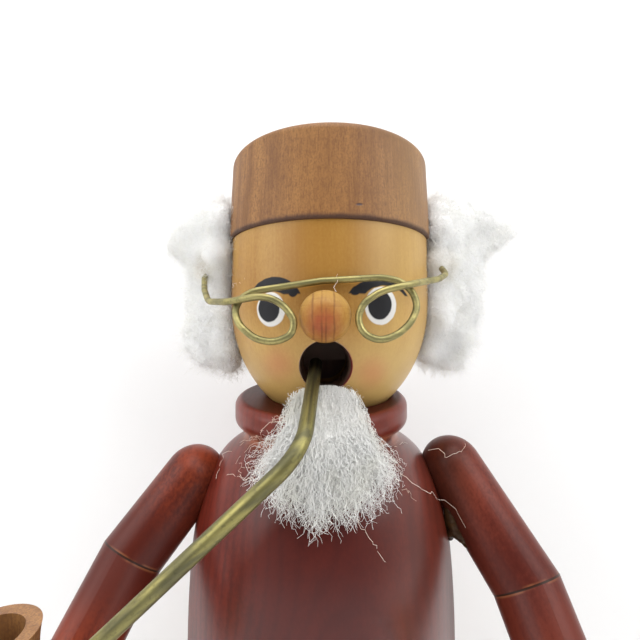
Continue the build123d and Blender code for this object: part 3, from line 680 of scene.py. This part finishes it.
def stem_brass():
    """Olive brass of the stem, with dull streaks along both its runs and near-black towards its end in the
    mouth.
    """
    made, shader, place = new_finish("brass_stem", {"Metallic": 1.0})
    _, y, _ = place.split()
    upper = y.step(STEM_BEND_Y - 1.2, STEM_BEND_Y + 1.2)
    dull = drawn_streaks(place, STEM_TO_BOWL, 3.0) * (1 - upper)
    dull = dull + drawn_streaks(place, STEM_TO_MOUTH, 8.0, 1.8) * upper
    spots = place.cloud((2.6, 2.6, 2.6), 3.0, 7.0)
    colour = dull.step(0.33, 0.68).mix(rgb(0.285, 0.255, 0.095), rgb(0.130, 0.122, 0.066))
    colour = (spots.step(0.55, 0.75) * 0.4).mix(colour, rgb(0.08, 0.072, 0.045))
    # Near-black towards the stem's end in the mouth.
    dark_end = y.step(DARK_END_Y, DARK_END_Y + 2.6)
    colour = (dark_end * 0.9).mix(colour, rgb(0.012, 0.010, 0.008))
    connect(
        shader,
        base_color=colour,
        roughness=0.32 + dull * 0.22 + spots * 0.08 + dark_end * 0.2,
        normal=relief(spots, 0.008),
    )
    return made


def wool_colour(place, own_tone=None):
    """Off-white, yellowed in places and stained where the spectacles are glued in."""
    tint = place.cloud((0.22, 0.22, 0.22), 3.0, 8.0)
    colour = tint.step(0.40, 0.72).mix(rgb(0.985, 0.985, 0.965), rgb(0.955, 0.95, 0.895))
    for stain in GLUE_STAINS:
        near = place.measure("DISTANCE", stain).step(4.2, 1.0)
        colour = (near * 0.5).mix(colour, rgb(0.50, 0.40, 0.27))
    if own_tone:
        strand = place.make("ShaderNodeAttribute", {"attribute_name": "strand"}, out="Fac")
        colour = (strand.step(0.45, 1.0) * own_tone).mix(colour, rgb(0.62, 0.58, 0.50))
    return colour


def wool_hair(name, constants, own_tone):
    """Single fibres of wool, each a little lighter or darker by own_tone."""
    made, shader, place = new_finish(name, constants)
    connect(shader, base_color=wool_colour(place, own_tone))
    return made


def stray_wool():
    """Single loose fibres, tinted warm as painted light from the red coat under them."""
    made, shader, place = new_finish("stray_wool", {"Roughness": 0.8, "Specular IOR Level": 0.2})
    tint = place.cloud((0.4, 0.4, 0.4), 2.0, 2.0)
    connect(shader, base_color=tint.step(0.35, 0.65).mix(rgb(0.90, 0.80, 0.72), rgb(0.84, 0.66, 0.55)))
    return made


def lit_through(spread):
    """Values of wool in which light spreads so many millimetres."""
    return {
        "Subsurface Weight": 1.0,
        "Subsurface Radius": WOOL_GLOW,
        "Subsurface Scale": spread * MM,
        "Roughness": 0.95,
        "Specular IOR Level": 0.05,
    }


def tuft_wool():
    """Wool of the tufts, felted together any way it lay."""
    made, shader, place = new_finish("tuft_wool", lit_through(4.0))
    swirl = place.cloud((0.5, 0.5, 0.5), 2.0, 3.0).also("Color")
    bent = place.vector("MULTIPLY_ADD", swirl, (3, 3, 3), place)
    hairs = bent.cloud((3.2, 3.2, 0.8), 3.0, 5.0) + bent.cloud((0.9, 3.4, 3.4), 3.0, 9.0)
    connect(shader, base_color=wool_colour(place), normal=relief(hairs, 0.25))
    return made


def beard_wool():
    """Wool of the beard, combed downwards, with painted shade in small dark flecks between the fibres
    towards its end.
    """
    made, shader, place = new_finish("beard_wool", {"Roughness": 0.95, "Specular IOR Level": 0.05})
    _, _, z = place.split()
    wavy = place.cloud((0.9, 0.9, 0.7), 2.0, 3.0).also("Color")
    bent = place.vector("MULTIPLY_ADD", wavy, (1.6, 1.6, 1.6), place)
    hairs = bent.cloud((5.5, 5.5, 1.1), 3.0, 5.0) + bent.cloud((2.6, 2.6, 0.7), 2.0, 9.0)
    # Painted shade: small dark flecks stand for shadow seen between the fibres towards the end.
    shaded_gaps = bent.cloud((4.6, 4.6, 1.5), 2.0, 13.0).step(0.62, 0.69) * z.step(129.5, 122.0)
    colour = (shaded_gaps * 0.75).mix(wool_colour(place), rgb(0.22, 0.15, 0.14))
    connect(shader, base_color=colour, normal=relief(hairs, 0.14))
    return made


def dried_glue():
    """Amber wood glue, set hard."""
    made, shader, place = new_finish("dried_glue", {"Coat Weight": 0.08, "Specular IOR Level": 0.1})
    cloudy = place.cloud((1.2, 1.2, 1.2), 3.0, 2.0)
    colour = cloudy.step(0.3, 0.7).mix(rgb(0.055, 0.028, 0.010), rgb(0.030, 0.012, 0.006))
    connect(shader, base_color=colour, roughness=0.25 + cloudy * 0.2)
    return made


def add_piece(name, mesh):
    piece = bpy.data.objects.new(name, mesh)
    bpy.context.scene.collection.objects.link(piece)
    return piece


def settle(piece):
    """Turns a piece and its modifiers into a plain mesh."""
    seen = piece.evaluated_get(bpy.context.evaluated_depsgraph_get())
    mesh = bpy.data.meshes.new_from_object(seen)
    piece.modifiers.clear()
    piece.data = mesh
    return piece


def head_radius(z):
    """Outer radius of the head or cap at a height, for arrays of heights."""
    below = np.clip((z - HEAD_MID_Z) / HEAD_DROP, -1.0, 0.0)
    radius = HEAD_R * np.sqrt(1.0 - below * below)
    return np.where(z > CAP_LOW.z - WOOL_GAP, CAP_R, radius) * (z < CAP_HIGH.z)


def off_the_head(points):
    """Points moved straight out from the head and cap where they would be inside."""
    across = points[..., 0] - HEAD_X
    deep = points[..., 1]
    out = np.maximum(np.hypot(across, deep), 1e-6)
    grow = np.maximum(1.0, (head_radius(points[..., 2]) + WOOL_GAP) / out)
    moved = points.copy()
    moved[..., 0] = HEAD_X + across * grow
    moved[..., 1] = deep * grow
    return moved


def melted(name, puffs, voxel, smoothing, finish):
    """Round puffs melted together into one smooth lump."""
    lump = bmesh.new()
    for x, y, z, radius in puffs:
        place = Matrix.Translation(Vector((x, y, z)) * MM)
        bmesh.ops.create_icosphere(lump, subdivisions=3, radius=radius * MM, matrix=place)
    mesh = bpy.data.meshes.new(name)
    lump.to_mesh(mesh)
    lump.free()
    piece = add_piece(name, mesh)
    melt = piece.modifiers.new("melt", "REMESH")
    melt.mode = "VOXEL"
    melt.voxel_size = voxel * MM
    piece.modifiers.new("soften", "SMOOTH").iterations = smoothing
    settle(piece)
    piece.data.shade_smooth()
    piece.data.materials.append(finish)
    return piece


def wool_core(name, puffs, finish):
    """Soft lump of wool: melted puffs, roughened and kept off the head."""
    piece = melted(name, puffs, CORE_VOXEL, CORE_SMOOTHING, finish)
    for vertex in piece.data.vertices:
        at = vertex.co / MM
        swell = 0.35 * noise.fractal(at * 0.35, 1.0, 2.0, 3) + 0.15 * noise.noise(at * 1.3)
        vertex.co += vertex.normal * swell * MM
    points = np.empty(3 * len(piece.data.vertices))
    piece.data.vertices.foreach_get("co", points)
    points = off_the_head(points.reshape(-1, 3) / MM) * MM
    piece.data.vertices.foreach_set("co", points.ravel())
    return piece


def surface_points(piece, count, draw):
    """Random places on a piece's surface and the normals there, in millimetres."""
    mesh = piece.data
    mesh.calc_loop_triangles()
    corners = np.array([vertex.co for vertex in mesh.vertices]) / MM
    normals = np.array([vertex.normal for vertex in mesh.vertices])
    faces = np.array([triangle.vertices for triangle in mesh.loop_triangles])
    areas = np.array([triangle.area for triangle in mesh.loop_triangles])
    chosen = faces[draw.choice(len(faces), count, p=areas / areas.sum())]
    weights = draw.dirichlet((1.0, 1.0, 1.0), count)[..., None]
    return (corners[chosen] * weights).sum(1), (normals[chosen] * weights).sum(1)


def unit(vectors):
    return vectors / np.maximum(np.linalg.norm(vectors, axis=-1, keepdims=True), 1e-9)


def fluff_lines(core, count, length, lift, draw, fall=0.3):
    """Lines of wool from under a core's surface, hanging by fall; most lie along it, a few stand up."""
    steps = 6
    at, normals = surface_points(core, count, draw)
    lift = 0.08 + lift * draw.uniform(0.0, 1.0, (count, 1)) ** 4
    wild = draw.normal(size=(count, 3)) + (0.0, 0.0, -fall)
    flat = unit(wild - normals * (wild * normals).sum(1, keepdims=True))
    heading = unit(flat + normals * lift)
    stride = length * draw.uniform(0.5, 1.3, (count, 1)) / steps
    at = at - normals * 0.12
    line = [at]
    for _ in range(steps):
        heading = unit(heading + 0.35 * draw.normal(size=(count, 3)))
        at = at + heading * stride
        line.append(at)
    return off_the_head(np.stack(line, 1))


def beard_place(across, depth, z):
    """A place in the beard: across is -1 to 1, depth is 0 at the coat and 1 in front."""
    levels, halves, backs, fronts = np.array(BEARD_ROWS).T
    high = (z - BEARD_TIP_Z) / (BEARD_ROOT_Z - BEARD_TIP_Z)
    x = BEARD_LOW_X + (BEARD_TOP_X - BEARD_LOW_X) * high + across * np.interp(z, levels, halves)
    back = np.interp(z, levels, backs)
    radius = back + (np.interp(z, levels, fronts) - back) * depth
    return np.stack([x, -np.sqrt(np.maximum(radius * radius - x * x, 1.0)), z], -1)


def beard_tip(across):
    """Height of the beard's lower edge, which rises to both sides."""
    return BEARD_TIP_Z + 4.8 * np.minimum(np.abs(across), 1.0) ** 2.4


def beard_lines(count, draw):
    """Lines of the beard, fanned from the chin over the collar to the coat, in locks with ragged ends."""
    down = np.linspace(0.0, 1.0, 24)[None, :]
    across = draw.uniform(-1.0, 1.0, (count, 1)) * draw.choice([1.0, 1.2], (count, 1), p=[0.9, 0.1])
    lock = np.floor((across + 1.2) / 2.4 * BEARD_LOCKS).astype(int)
    drift = draw.normal(0.0, 0.17, (count, 1)) + draw.normal(0.0, 0.07, BEARD_LOCKS + 1)[lock]
    waves = 2 * math.pi * (draw.uniform(1.0, 3.5, (count, 1)) * down + draw.uniform(0.0, 1.0, (count, 1)))
    sway = draw.uniform(0.02, 0.13, (count, 1)) * np.sin(waves)
    root = BEARD_ROOT_Z - BEARD_ROOT_H * draw.uniform(0.0, 1.0, (count, 1)) ** 1.2 - 0.9 * across**2
    reach = draw.triangular(0.3, 0.86, 1.06, (count, 1)) + draw.normal(0.0, 0.06, BEARD_LOCKS + 1)[lock]
    z = root - (root - beard_tip(across)) * down * reach
    first = draw.uniform(0.5, 0.97, (count, 1))
    out = draw.uniform(0.5, 1.01, (count, 1))
    depth = first + (out - first) * np.minimum(1.0, 2.6 * down)
    depth = depth * (1.0 - 0.45 * down**3 * draw.uniform(0.0, 1.0, (count, 1)))
    return beard_place(across + drift * down + sway, depth, z)


def beard_core(finish):
    """Matted middle of the beard, under the loose fibres."""
    wide = np.linspace(-1.0, 1.0, 61)
    tall = np.linspace(0.0, 1.0, 71)
    across, down = np.meshgrid(wide, tall)
    ragged = np.array([0.9 + 0.25 * noise.noise(Vector((7.0 * side, 0.0, 3.0))) for side in wide])[None, :]
    top = BEARD_ROOT_Z - 0.2 - 1.5 * np.abs(across) ** 3
    z = top - (top - beard_tip(across)) * down * BEARD_CORE_L * ragged
    thick = np.sqrt(np.clip(1.0 - across**2, 0.0, 1.0)) * np.sqrt(np.clip((1.0 - down) * 4.0, 0.0, 1.0))
    thick = thick * np.sqrt(np.clip(down * 12.0, 0.0, 1.0))
    front = beard_place(BEARD_CORE_W * across, 0.06 + 0.86 * thick, z).reshape(-1, 3)
    back = beard_place(BEARD_CORE_W * across, 0.05, z).reshape(-1, 3)
    rough = [noise.fractal(Vector(point) * 0.9, 1.0, 2.0, 4) for point in front]
    front[:, 1] -= 0.3 * np.array(rough) * np.minimum(1.0, 3.0 * thick.ravel())
    mesh = bpy.data.meshes.new("beard_core")
    count = len(front)
    faces = []
    for row in range(len(tall) - 1):
        for column in range(len(wide) - 1):
            a = row * len(wide) + column
            b = a + len(wide)
            faces.append((a, b, b + 1, a + 1))
            faces.append((count + a, count + a + 1, count + b + 1, count + b))
    edge = [row * len(wide) for row in range(len(tall))]
    edge += [(len(tall) - 1) * len(wide) + column for column in range(1, len(wide))]
    edge += [row * len(wide) + len(wide) - 1 for row in reversed(range(len(tall) - 1))]
    edge += reversed(range(1, len(wide) - 1))
    for a, b in zip(edge, edge[1:] + edge[:1]):
        faces.append((a, count + a, count + b, b))
    mesh.from_pydata((np.concatenate([front, back]) * MM).tolist(), [], faces)
    mesh.materials.append(finish)
    mesh.shade_smooth()
    return add_piece("beard_core", mesh)


def stray_lines(count, draw):
    """Lines that leave the beard's right side and lie on the coat and the collar."""
    levels, halves = np.array(BEARD_ROWS).T[:2]
    z = draw.uniform(STRAY_LOW_Z, STRAY_HIGH_Z, (count, 1))
    x = BEARD_LOW_X - np.interp(z, levels, halves) * draw.uniform(0.7, 1.0, (count, 1))
    fall = np.radians(draw.uniform(-10.0, 75.0, (count, 1)))
    run = draw.triangular(1.5, 3.0, STRAY_LONGEST, (count, 1)) * np.linspace(0.0, 1.0, LOOSE_STEPS)[None, :]
    x = x - run * np.cos(fall)
    z = z - run * np.sin(fall)
    return off_the_coat(np.stack([x, -np.ones_like(x), z], -1), along_y=True)


def off_the_coat(points, along_y=False):
    """Points moved straight out, or forward only, to lie on the coat."""
    levels, radii = np.array(COAT_ROWS).T
    least = np.interp(points[..., 2], levels, radii) + COAT_GAP
    if along_y:
        forward = -np.sqrt(np.maximum(least**2 - points[..., 0] ** 2, 1.0))
        return np.stack([points[..., 0], np.minimum(points[..., 1], forward), points[..., 2]], -1)
    grow = np.maximum(1.0, least / np.hypot(points[..., 0], points[..., 1]))
    return points * np.stack([grow, grow, np.ones_like(grow)], -1)


def off_the_sleeve(points):
    """Points moved straight out from the left upper arm where they would be inside."""
    along = np.array(Vector(GRAIN_UPPER_LEFT).normalized())
    away = points - np.array(ELBOW_LEFT)
    away = away - (away * along).sum(-1, keepdims=True) * along
    out = np.linalg.norm(away, axis=-1, keepdims=True)
    return points + away * (np.maximum(1.0, (ARM_R + COAT_GAP) / np.maximum(out, 1e-6)) - 1.0)


def laid_line(points):
    """One loose fibre's line through its points, in equal steps."""
    points = np.array(points)
    run = np.concatenate([[0.0], np.cumsum(np.linalg.norm(np.diff(points, axis=0), axis=1))])
    wanted = np.linspace(0.0, run[-1], LOOSE_STEPS)
    line = np.stack([np.interp(wanted, run, points[:, axis]) for axis in range(3)], -1)
    return off_the_sleeve(off_the_coat(line))


def fibre_tree():
    """Nodes that crimp laid lines of wool and give them thickness."""
    tree = bpy.data.node_groups.new("crimped_fibres", "GeometryNodeTree")
    kinds = {
        "Geometry": ["Laid lines"],
        "Int": ["Points"],
        "Float": ["Crimp", "Kinks per metre", "Thickness", "Seed"],
        "Material": ["Wool"],
    }
    for kind, names in kinds.items():
        for name in names:
            tree.interface.new_socket(name, in_out="INPUT", socket_type=f"NodeSocket{kind}")
    tree.interface.new_socket("Fibres", in_out="OUTPUT", socket_type="NodeSocketGeometry")
    given = Flow(tree).make("NodeGroupInput")
    along = given.make("GeometryNodeInputNamedAttribute", {"data_type": "FLOAT"}, {"Name": "along"})
    strand = given.make("GeometryNodeInputNamedAttribute", {"data_type": "FLOAT"}, {"Name": "strand"})
    line = given.make("GeometryNodeMeshToCurve", None, {0: given.also("Laid lines")})
    even = {"Curve": line, "Count": given.also("Points")}
    line = line.make("GeometryNodeResampleCurve", {"mode": "COUNT"}, even)
    here = line.make("GeometryNodeInputPosition")
    own = {
        "Vector": here,
        "W": strand * 500.0 + given.also("Seed"),
        "Scale": given.also("Kinks per metre"),
        "Detail": 1.5,
    }
    sway = here.make("ShaderNodeTexNoise", {"noise_dimensions": "4D"}, own, out="Color")
    sway = sway.vector("SUBTRACT", sway, (0.5, 0.5, 0.5))
    size = given.also("Crimp") * (along * 5.0).math("MINIMUM", 1.0) * 2.0
    push = sway.make("ShaderNodeVectorMath", {"operation": "SCALE"}, {0: sway, "Scale": size})
    line = line.make("GeometryNodeSetPosition", None, {"Geometry": line, "Offset": push})
    ring = line.make(
        "GeometryNodeCurvePrimitiveCircle",
        {"mode": "RADIUS"},
        {"Resolution": FIBRE_SIDES, "Radius": given.also("Thickness") * 0.5},
    )
    tapered = {"Curve": line, "Profile Curve": ring, "Scale": 1 - along * 0.5}
    tube = line.make("GeometryNodeCurveToMesh", None, tapered)
    tube = tube.make("GeometryNodeSetShadeSmooth", None, {0: tube})
    tube = tube.make("GeometryNodeRealizeInstances", None, {0: tube})
    tube = tube.make("GeometryNodeSetMaterial", None, {0: tube, "Material": given.also("Wool")})
    tube.make("NodeGroupOutput", None, {0: tube})
    return tree


def fibres(name, lines, finish, tree, draw, points, crimp, kink, thickness):
    """Pieces of wool fibres along laid lines, as many as the limit on triangles asks for."""
    each = 2 * FIBRE_SIDES * (points - 1)
    share = TRIANGLES_MOST // each
    pieces = []
    for part, first in enumerate(range(0, len(lines), share)):
        laid = lines[first : first + share]
        count, steps, _ = laid.shape
        ends = np.arange(count * steps).reshape(count, steps)
        edges = np.stack([ends[:, :-1], ends[:, 1:]], -1).reshape(-1, 2)
        label = f"{name}_{part + 1}"
        mesh = bpy.data.meshes.new(label)
        mesh.from_pydata((laid.reshape(-1, 3) * MM).tolist(), edges.tolist(), [])
        values = {
            "along": np.tile(np.linspace(0.0, 1.0, steps), count),
            "strand": np.repeat(draw.uniform(0.0, 1.0, count), steps),
        }
        for key, value in values.items():
            mesh.attributes.new(key, "FLOAT", "POINT").data.foreach_set("value", value.astype(np.float32))
        piece = add_piece(label, mesh)
        grow = piece.modifiers.new("crimp", "NODES")
        grow.node_group = tree
        inputs = {
            "Points": points,
            "Crimp": crimp * MM,
            "Kinks per metre": 1 / (kink * MM),
            "Thickness": thickness * MM,
            "Seed": float(part),
            "Wool": finish,
        }
        for item in tree.interface.items_tree:
            if item.in_out == "INPUT" and item.name in inputs:
                grow[item.identifier] = inputs[item.name]
        pieces.append(settle(piece))
    return pieces


def wear(pieces, body):
    """Makes pieces ride on a body."""
    for piece in pieces:
        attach(piece, body)


def paint_nodes():
    """Gives every carried-over piece its finish."""
    elbow_square_right = Vector(GRAIN_UPPER_RIGHT).normalized() + Vector(GRAIN_FORE_RIGHT).normalized()
    elbow_square_left = Vector(GRAIN_UPPER_LEFT).normalized() + Vector(GRAIN_FORE_LEFT).normalized()
    # The last pair of each seam gives the shares of painted shade beside the coat and towards the elbow.
    seam_right = (ELBOW_RIGHT, elbow_square_right, rgb(0.285, 0.048, 0.018), (0.15, 0.9))
    seam_left = (ELBOW_LEFT, elbow_square_left, rgb(0.178, 0.035, 0.0195), (0.6, 0.5))
    wire = old_brass("brass_wire", 1.0, (1, 0, 0), rgb(0.405, 0.35, 0.145), rgb(0.232, 0.212, 0.096))
    sheet = old_brass("brass_sheet", 5.0, (1, 0, 0), rgb(0.45, 0.375, 0.15), rgb(0.26, 0.23, 0.10))
    hand = plain_varnish("hand_varnish", (0, 1, 0), 5.0)
    shoe = black_stain()
    finishes = {
        "head": face_varnish(),
        "nose": nose_varnish(),
        "cap": cap_stain(),
        "torso": coat_glaze(),
        "upper_arm_right": sleeve_glaze("right_sleeve_glaze", GRAIN_UPPER_RIGHT, *seam_right, 1.0),
        "upper_arm_left": sleeve_glaze("left_sleeve_glaze", GRAIN_UPPER_LEFT, *seam_left, 5.0),
        "forearm_right": sleeve_glaze("right_cuff_glaze", GRAIN_FORE_RIGHT, *seam_right, 2.5),
        "forearm_left": sleeve_glaze("left_cuff_glaze", GRAIN_FORE_LEFT, *seam_left, 7.0),
        "hand_right": hand,
        "hand_left": hand,
        "glasses": wire,
        "pipe_stem": stem_brass(),
        "pipe_bowl": brown_stain("bowl_stain", (0, 0, 1), 8.0),
        "base_plate": plain_varnish("base_varnish", (1, 0, 0), 12.0),
        "leg_right": brown_stain("right_leg_stain", (0, 0, 1), 14.0),
        "leg_left": brown_stain("left_leg_stain", (0, 0, 1), 17.0),
        "hip_block": brown_stain("hip_stain", (0, 0, 1), 20.0),
        "shoe_right": shoe,
        "shoe_left": shoe,
        "cone_plate": sheet,
        "plate_tacks": sheet,
    }
    for node, finish in finishes.items():
        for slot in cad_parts[node].material_slots:
            slot.material = finish


def fringe_puffs(draw):
    """Puffs of the fringe, from low ragged ends up to the cap."""
    puffs = []
    for angle in FRINGE_ANGLES:
        turn = math.radians(angle)
        drop = draw.uniform(-1.6, 1.6)
        for z in np.linspace(FRINGE_LOW_Z + drop, FRINGE_HIGH_Z, FRINGE_STEPS):
            radius = FRINGE_R * draw.uniform(0.75, 1.3)
            out = float(head_radius(z)) + draw.uniform(0.1, 0.6) * radius
            puffs.append((HEAD_X + out * math.cos(turn), out * math.sin(turn), float(z), radius))
    return puffs


def hug_puffs(side, draw):
    """Puffs that close a tuft's front edge against the head; side is -1 for the right tuft."""
    puffs = []
    for z in np.linspace(HUG_LOW_Z, HUG_HIGH_Z, HUG_STEPS):
        radius = HUG_R * draw.uniform(0.9, 1.2)
        turn = math.radians(draw.uniform(0.3, 1.1) * HUG_FORWARD)
        out = float(head_radius(z)) + draw.uniform(0.45, 0.8) * radius
        puffs.append((HEAD_X + side * out * math.cos(turn), -out * math.sin(turn), float(z), radius))
    return puffs


def dress_in_wool():
    """Hair, back fringe and beard, with the loose fibres round it."""
    finish = wool_hair("wool_fibre", {"Roughness": 0.9, "Specular IOR Level": 0.15}, 0.10)
    fluff = wool_hair("wool_fluff", lit_through(0.4), 0.22)
    matted = tuft_wool()
    felted = beard_wool()
    tree = fibre_tree()
    draw = np.random.default_rng(WOOL_SEED)
    fringe = fringe_puffs(draw)
    tufts = {
        "hair_right": TUFT_RIGHT + hug_puffs(-1, draw),
        "hair_left": TUFT_LEFT + hug_puffs(1, draw),
        "hair_back": fringe,
    }
    for node, puffs in tufts.items():
        core = wool_core(f"{node}_core", puffs, matted)
        lines = fluff_lines(core, FLUFF_COUNTS[node], FLUFF_LENGTH, FLUFF_LIFT, draw)
        pieces = fibres(f"{node}_fluff", lines, fluff, tree, draw, **FLUFF)
        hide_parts(node)
        wear([core] + pieces, "upper_body")
    core = beard_core(felted)
    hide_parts("beard")
    pieces = fibres("beard_fibres", beard_lines(BEARD_COUNT, draw), finish, tree, draw, **BEARD_FIBRE)
    fuzz = fluff_lines(core, FUZZ_COUNT, FUZZ_LENGTH, FUZZ_LIFT, draw, FUZZ_FALL)
    fuzz = fuzz[fuzz[..., 2].max(1) < BEARD_ROOT_Z - 0.2]
    pieces += fibres("beard_fuzz", fuzz, finish, tree, draw, **BEARD_FUZZ)
    laid = np.stack([laid_line(line) for line in LOOSE])
    loose = np.concatenate([laid, stray_lines(STRAY_COUNT, draw)])
    pieces += fibres("loose_fibres", loose, stray_wool(), tree, draw, **LOOSE_FIBRE)
    wear([core] + pieces, "upper_body")


def studio_white(name, glow, one_sided):
    """Matt white that keeps shadows; a one-sided sheet is clear from behind and to the light of lamps."""
    made = bpy.data.materials.new(name)
    made.use_nodes = True
    tree = made.node_tree
    tree.nodes.clear()
    matt = Flow(tree).make("ShaderNodeBsdfDiffuse", None, {"Color": rgb(0.85, 0.85, 0.85)})
    shine = matt.make("ShaderNodeEmission", None, {"Color": rgb(1, 1, 1), "Strength": glow})
    both = matt.make("ShaderNodeAddShader", None, {0: matt, 1: shine})
    ray = matt.make("ShaderNodeLightPath")
    seen = ray.also("Is Camera Ray") + ray.also("Is Glossy Ray") + ray.also("Is Transmission Ray")
    sheet = matt.make("ShaderNodeMixShader", None, {0: seen.math("MINIMUM", 1.0), 1: matt, 2: both})
    if one_sided:
        behind = matt.make("ShaderNodeNewGeometry", out="Backfacing")
        clear = matt.make("ShaderNodeBsdfTransparent")
        unseen = behind.math("MAXIMUM", ray.also("Is Shadow Ray"))
        sheet = matt.make("ShaderNodeMixShader", None, {0: unseen, 1: sheet, 2: clear})
    sheet.make("ShaderNodeOutputMaterial", None, {0: sheet})
    return made


def flat_sheet(name, corners, finish):
    mesh = bpy.data.meshes.new(name)
    mesh.from_pydata([[value * MM for value in corner] for corner in corners], [], [(0, 1, 2, 3)])
    mesh.materials.append(finish)
    sheet = add_piece(name, mesh)


def soft_lamp(name, at, aim, width, power):
    data = bpy.data.lights.new(name, "AREA")
    data.shape = "DISK"
    data.size = width * MM
    data.energy = power
    lamp = bpy.data.objects.new(name, data)
    lamp.location = Vector(at) * MM
    lamp.rotation_euler = (Vector(aim) - Vector(at)).to_track_quat("-Z", "Y").to_euler()
    bpy.context.scene.collection.objects.link(lamp)


def studio():
    """Pale floor, white sheet behind, soft lamps, a world that is dim in front, and the camera."""
    wide = STAGE_HALF
    back = BACK_SHEET_Y
    flat_sheet(
        "floor",
        [(-wide, -wide, 0), (wide, -wide, 0), (wide, wide, 0), (-wide, wide, 0)],
        studio_white("floor_white", STAGE_GLOW, False),
    )
    flat_sheet(
        "back_sheet",
        [(-wide, back, 0), (wide, back, 0), (wide, back, wide), (-wide, back, wide)],
        studio_white("sheet_white", STAGE_GLOW, True),
    )
    for lamp, at, width, power in LAMPS:
        soft_lamp(lamp, at, LAMP_AIM, width, power)
    scene = bpy.context.scene
    world = bpy.data.worlds.new("studio_air")
    world.use_nodes = True
    scene.world = world
    tree = world.node_tree
    tree.nodes.clear()
    facing = Flow(tree).make("ShaderNodeTexCoord", out="Generated")
    _, toward, _ = facing.split()
    glow = toward.step(-0.85, -0.2).mix(WORLD_FRONT, WORLD_SIDE)
    seen = facing.make("ShaderNodeLightPath", out="Is Camera Ray")
    glow = seen.mix(glow, rgb(1, 1, 1))
    light = glow.make("ShaderNodeBackground", None, {"Color": glow})
    light.make("ShaderNodeOutputWorld", None, {0: light})
    lens = bpy.data.cameras.new("camera")
    lens.sensor_width = SENSOR_WIDTH
    lens.lens = SENSOR_WIDTH * FOCAL_PX / PICTURE_PX
    lens.clip_start = MM
    camera = bpy.data.objects.new("camera", lens)
    camera.location = Vector(CAMERA_AT) * MM
    camera.rotation_euler = (math.radians(90 + CAMERA_TIPPED_UP), 0, 0)
    scene.collection.objects.link(camera)
    scene.camera = camera
    scene.view_settings.view_transform = "Standard"


paint_nodes()
dress_in_wool()
glue = melted("glue_run", GLUE_DROPS, GLUE_VOXEL, GLUE_SMOOTHING, dried_glue())
wear([glue], "upper_body")
studio()
